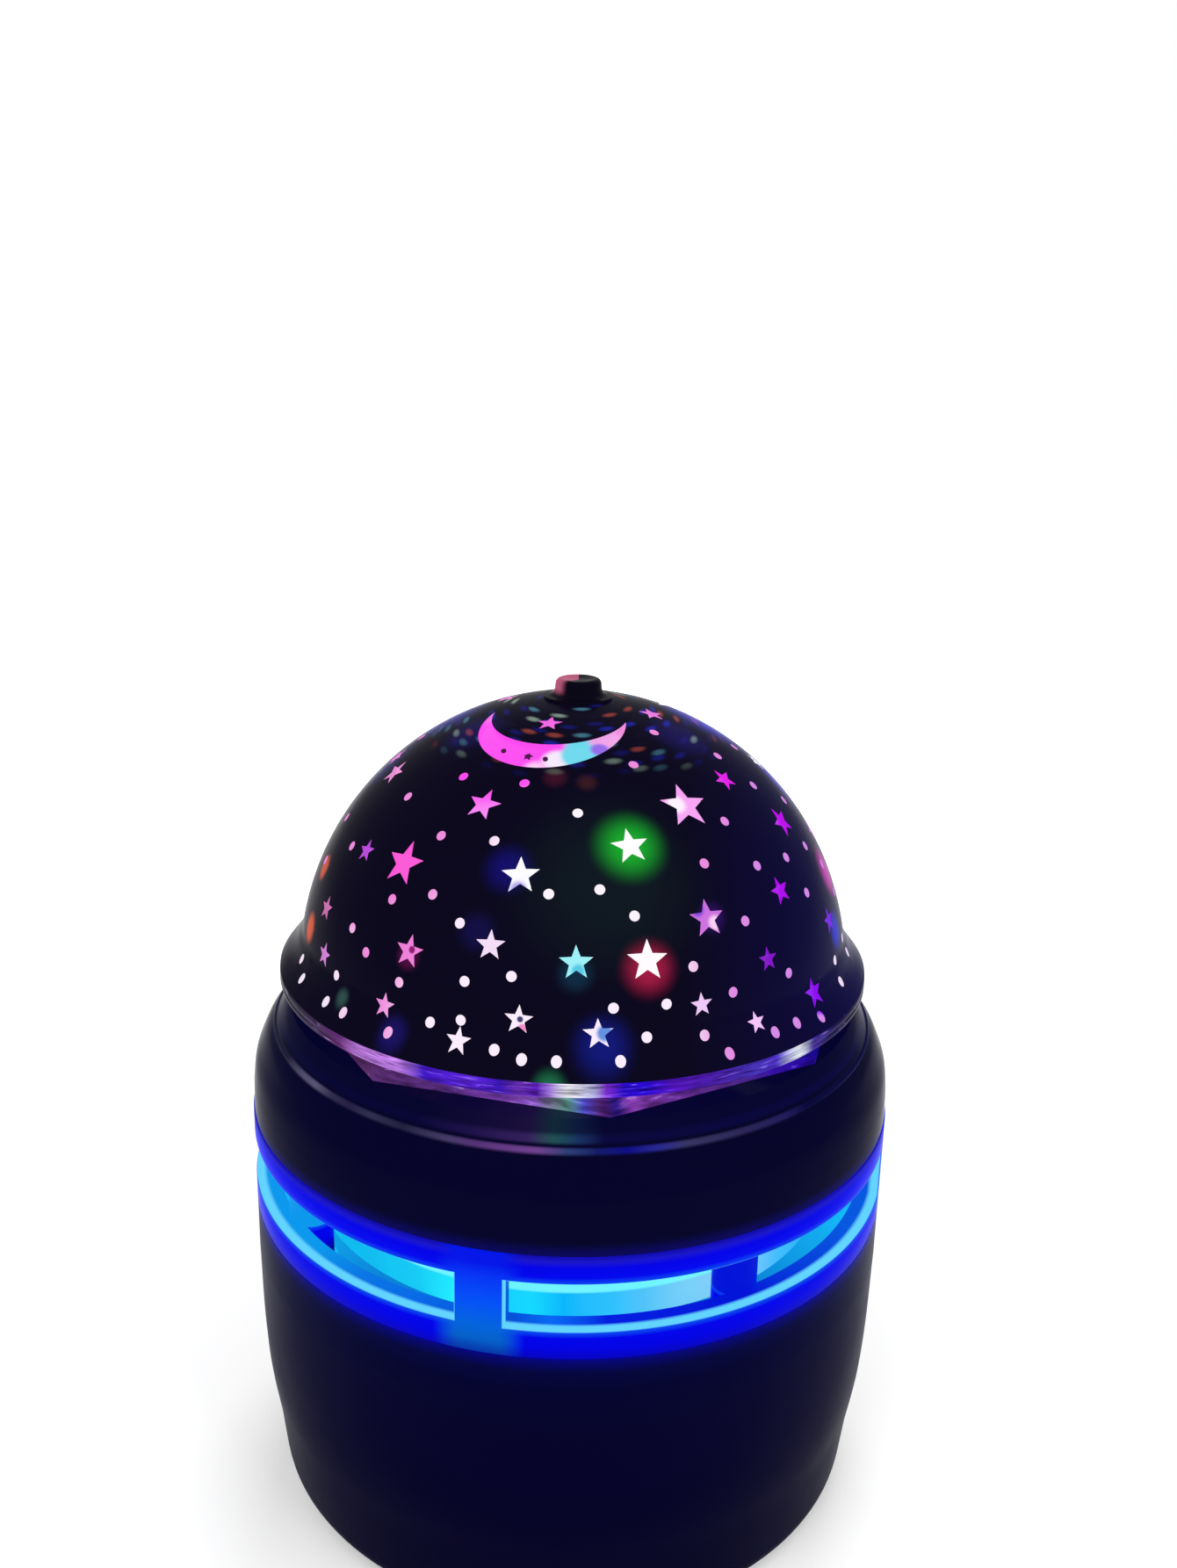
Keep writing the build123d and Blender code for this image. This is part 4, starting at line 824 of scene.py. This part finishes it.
# lens dome: moulded clear polycarbonate, glassy, coloured light drifts over its lenses in soft patches
lensLook = {
    "patchSize": 23.81,  # mm
    "grain": (3, 0.004, 0.1, 0.18),
    "colours": ((0.3, "#1c0c8c"), (0.42, "#5a1cc4"), (0.5, "#b44cd8"), (0.6, "#f08cdc"), (0.7, "#fbe4fa")),
}
lensFinish, tree, shader = newFinish("litLensPolycarbonate", {
    "Base Color": "#140c20", "IOR": 1.3, "Emission Strength": 1.0,
})
drift = addNode(tree, "ShaderNodeTexNoise", {
    "Vector": addNode(tree, "ShaderNodeTexCoord").outputs["Object"],
    "Scale": 1 / (lensLook["patchSize"] * mm), "Detail": 1.5, "Distortion": 0.8,
})
patches = addNode(tree, "ShaderNodeValToRGB", {0: drift.outputs["Fac"]}, stops=lensLook["colours"])
tree.links.new(patches.outputs[0], shader.inputs["Emission Color"])
addGrain(tree, shader, *lensLook["grain"])
dress(lensFinish, "lens_dome")
print("lens dome made")

# lower housing: ABS from a fine mould, satin and nearly black with a hint of navy; a navy glow is painted
# over the outside, brighter toward the ring, and the inside behind the slots is painted full of blue light
baseLook = {
    "outside": (  # painted glow, bluer toward the light ring: height in mm and colour
        (0, "#03021e"), (30, "#030124"), (44, "#040228"), (52, "#02032e"), (55, "#03053c"), (57, "#04046c"),
        (57.6, "#04048c"),
    ),
    "top": 58, "well": (5.0, 40.0), "wellRadii": (55.4, 58.6),  # the inner wall leans between these
    # painted light on the inner wall behind the slots, brighter toward the top
    "wellLow": "#0658c4", "wellHigh": "#14b8f6", "wellDim": 0.3,
    "plateTop": 4.2, "panelFront": 45,  # mm, behind this lies the wall of the button panel
    "grain": (3, 0.02, 0.25, 0.36),
}
baseFinish, tree, shader = newFinish("nearBlackAbsPaintedGlow", {
    "Base Color": "#010108", "IOR": 1.05, "Emission Strength": 1.0,
})
height = heightUp(tree)
low, high = baseLook["well"]
level = addNode(tree, "ShaderNodeMapRange", {0: height, 1: 0.0, 2: baseLook["top"]})
outsideGlow = addNode(tree, "ShaderNodeValToRGB", {
    0: level.outputs[0],
}, stops=heightStops(baseLook["outside"], 0, baseLook["top"]))
midWall = addNode(tree, "ShaderNodeMapRange", {
    0: height, 1: low, 2: high, 3: baseLook["wellRadii"][0], 4: baseLook["wellRadii"][1],
})
inner = addNode(tree, "ShaderNodeMath", {0: reachOut(tree), 1: midWall.outputs[0]}, operation="LESS_THAN")
abovePlate = addNode(tree, "ShaderNodeMath", {0: height, 1: baseLook["plateTop"]}, operation="GREATER_THAN")
place = addNode(tree, "ShaderNodeSeparateXYZ", {0: addNode(tree, "ShaderNodeTexCoord").outputs["Object"]})
offPanel = addNode(tree, "ShaderNodeMath", {
    0: place.outputs[1], 1: baseLook["panelFront"] * mm,
}, operation="LESS_THAN")
inside = inner
for limit in (abovePlate, offPanel):
    inside = addNode(tree, "ShaderNodeMath", {
        0: inside.outputs[0], 1: limit.outputs[0],
    }, operation="MULTIPLY")
climb = addNode(tree, "ShaderNodeMapRange", {0: height, 1: low, 2: high, 3: baseLook["wellDim"], 4: 1.0})
insideGlow = addNode(tree, "ShaderNodeMix", {
    0: climb.outputs[0], 6: hexColour(baseLook["wellLow"]), 7: hexColour(baseLook["wellHigh"]),
}, data_type="RGBA")
glow = addNode(tree, "ShaderNodeMix", {
    0: inside.outputs[0], 6: outsideGlow.outputs[0], 7: insideGlow.outputs[2],
}, data_type="RGBA").outputs[2]
tree.links.new(glow, shader.inputs["Emission Color"])
addGrain(tree, shader, *baseLook["grain"])
dress(baseFinish, "lower_housing")
print("lower housing made")

plainFinishes = {  # colour, metallic, roughness, grain and its depth in mm, pieces
    # black ABS from a spark-eroded mould: dull, with a fine even grain
    "texturedBlackAbs": ("#1a1a1c", 0.0, 0.5, 0.8, 0.04, ("base_plate", "power_jack", "tact_switches")),
    # moulded rubber: matt, soft and slightly uneven
    "mattBlackRubber": ("#141414", 0.0, 0.8, 0.6, 0.05, ("rubber_feet",)),
    # pressed and turned steel with a zinc coat: bright grey, a little clouded
    "zincPlatedSteel": ("#a8aaae", 1.0, 0.3, 1.0, 0.01, (
        "base_screws", "board_screws", "chassis_screws", "housing_screws", "motor_screws", "turntable_screws",
        "engine_screws", "knob_screw", "gear_motor",
    )),
    # ground steel rod: smoother and darker than the plated parts
    "groundSteel": ("#8c8c90", 1.0, 0.22, 0.8, 0.01, ("motor_shaft",)),
    # glass board under green lacquer: smooth, half gloss
    "greenSolderMask": ("#0c4a20", 0.0, 0.35, 1.2, 0.01, ("main_board", "button_board")),
    # boards under white lacquer, which throws the chips' light back
    "whiteSolderMask": ("#dcdedc", 0.0, 0.35, 1.2, 0.01, ("engine_board", "strip_board")),
    # moulded epoxy: dull dark grey
    "chipEpoxy": ("#161616", 0.0, 0.6, 0.4, 0.01, ("control_chips",)),
    # plastic sleeve shrunk on cans: smooth, dark blue grey
    "capacitorSleeve": ("#20242c", 0.0, 0.4, 2.0, 0.01, ("capacitors",)),
    # plain white ABS from a fine mould: pale and satin
    "whiteMouldedAbs": ("#d8d8d6", 0.0, 0.45, 1.0, 0.02, (
        "board_pillars", "chassis", "thrust_washer", "post_cap",
    )),
    # moulded acetal: creamy and slightly waxy
    "naturalAcetal": ("#e0ddd0", 0.0, 0.4, 1.5, 0.01, ("turntable_gear", "pinion")),
    # extruded soft jacket round the wires: plain red, half gloss
    "softLeadJacket": ("#8a1414", 0.0, 0.5, 1.0, 0.01, ("leads",)),
    # near black ABS: satin, so the buttons stand out from the panel
    "darkButtonAbs": ("#08080e", 0.0, 0.45, 1.0, 0.01, ("colour_button", "power_button", "turn_button")),
    # cast resin on white packages: pale yellow
    "ledPackage": ("#e8e4c8", 0.0, 0.4, 0.8, 0.01, ("strip_leds", "star_leds")),
}
for name, (colour, metallic, rough, grain, depth, pieceNames) in plainFinishes.items():
    finish, tree, shader = newFinish(name, {"Base Color": colour, "Metallic": metallic})
    addGrain(tree, shader, grain, depth, 0.85 * rough, 1.15 * rough)
    dress(finish, *pieceNames)
print("plain finishes on the inner pieces")

# plain studio: pale floor, even sky and three soft lamps that glossy faces don't mirror
studio = {
    "floorSize": 6.0, "floorColour": "#eeeeee", "floorLift": 0.22, "liftFrom": (0.12, 0.5), "skyLight": 0.55,
    "lampPower": 14.0, "lampAim": Vector((0, 0, 0.08)),
    "lamps": (  # name, place and size in metres
        ("keyLamp", (-0.9, -1.1, 1.3), 1.2), ("fillLamp", (1.2, -0.8, 0.9), 1.2),
        ("backLamp", (0.2, 1.4, 1.2), 1.0),
    ),
}


def seenDirectly(tree):  # 1 for rays from the camera and through clear pieces
    rays = addNode(tree, "ShaderNodeLightPath")
    return addNode(tree, "ShaderNodeMath", {
        0: rays.outputs["Is Camera Ray"], 1: rays.outputs["Is Transmission Ray"],
    }, operation="MAXIMUM").outputs[0]


bpy.ops.object.select_all(action="DESELECT")
bpy.ops.mesh.primitive_plane_add(size=studio["floorSize"], location=(0, 0, 0))
floor = bpy.context.active_object
floor.name = "floor"
# painted board: matt and pale, turning plain white away from the piece
floorFinish, tree, shader = newFinish("paleFloor", {
    "Base Color": studio["floorColour"], "Roughness": 0.9, "Specular IOR Level": 0.0,
})
reach = addNode(tree, "ShaderNodeVectorMath", {
    0: addNode(tree, "ShaderNodeTexCoord").outputs["Object"],
}, operation="LENGTH")
lift = addNode(tree, "ShaderNodeMapRange", {
    0: reach.outputs["Value"], 1: studio["liftFrom"][0], 2: studio["liftFrom"][1],
    3: studio["floorLift"], 4: 1.0,
}, interpolation_type="SMOOTHSTEP")
lift = addNode(tree, "ShaderNodeMath", {0: seenDirectly(tree), 1: lift.outputs[0]}, operation="MULTIPLY")
shine = addNode(tree, "ShaderNodeEmission", {"Color": hexColour("#ffffff"), "Strength": lift.outputs[0]})
both = addNode(tree, "ShaderNodeAddShader", {0: shader.outputs[0], 1: shine.outputs[0]})
tree.links.new(both.outputs[0], tree.nodes["Material Output"].inputs["Surface"])
floor.data.materials.append(floorFinish)
floor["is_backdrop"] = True

world = bpy.data.worlds.new("studioWorld")
bpy.context.scene.world = world
world.use_nodes = True
tree = world.node_tree
strength = addNode(tree, "ShaderNodeMapRange", {0: seenDirectly(tree), 3: studio["skyLight"], 4: 1.0})
tree.nodes["Background"].inputs["Color"].default_value = hexColour("#ffffff")
tree.links.new(strength.outputs[0], tree.nodes["Background"].inputs["Strength"])

for name, place, size in studio["lamps"]:
    bpy.ops.object.light_add(type="AREA", location=place)
    lamp = bpy.context.active_object
    lamp.name = name
    lamp.data.size = size
    lamp.data.energy = studio["lampPower"]
    lamp.rotation_euler = (studio["lampAim"] - Vector(place)).to_track_quat("-Z", "Y").to_euler()
    lamp.visible_glossy = False

eye = {  # metres, degrees, and mm for the sensor and lens
    "place": (0.00219, -0.2616, 0.2123), "down": 16.41, "roll": 1.28, "sensor": 36.0, "lens": 34.286,
    "nearest": 0.01,
}
bpy.ops.object.camera_add(location=eye["place"])
camera = bpy.context.active_object
camera.name = "eye"
tilt = Matrix.Rotation(radians(90 - eye["down"]), 3, "X") @ Matrix.Rotation(radians(eye["roll"]), 3, "Z")
camera.rotation_euler = tilt.to_euler()
camera.data.sensor_width = eye["sensor"]
camera.data.lens = eye["lens"]
camera.data.clip_start = eye["nearest"]
bpy.context.scene.camera = camera
bpy.context.scene.view_settings.view_transform = "Standard"
print("studio and camera made")

low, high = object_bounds()
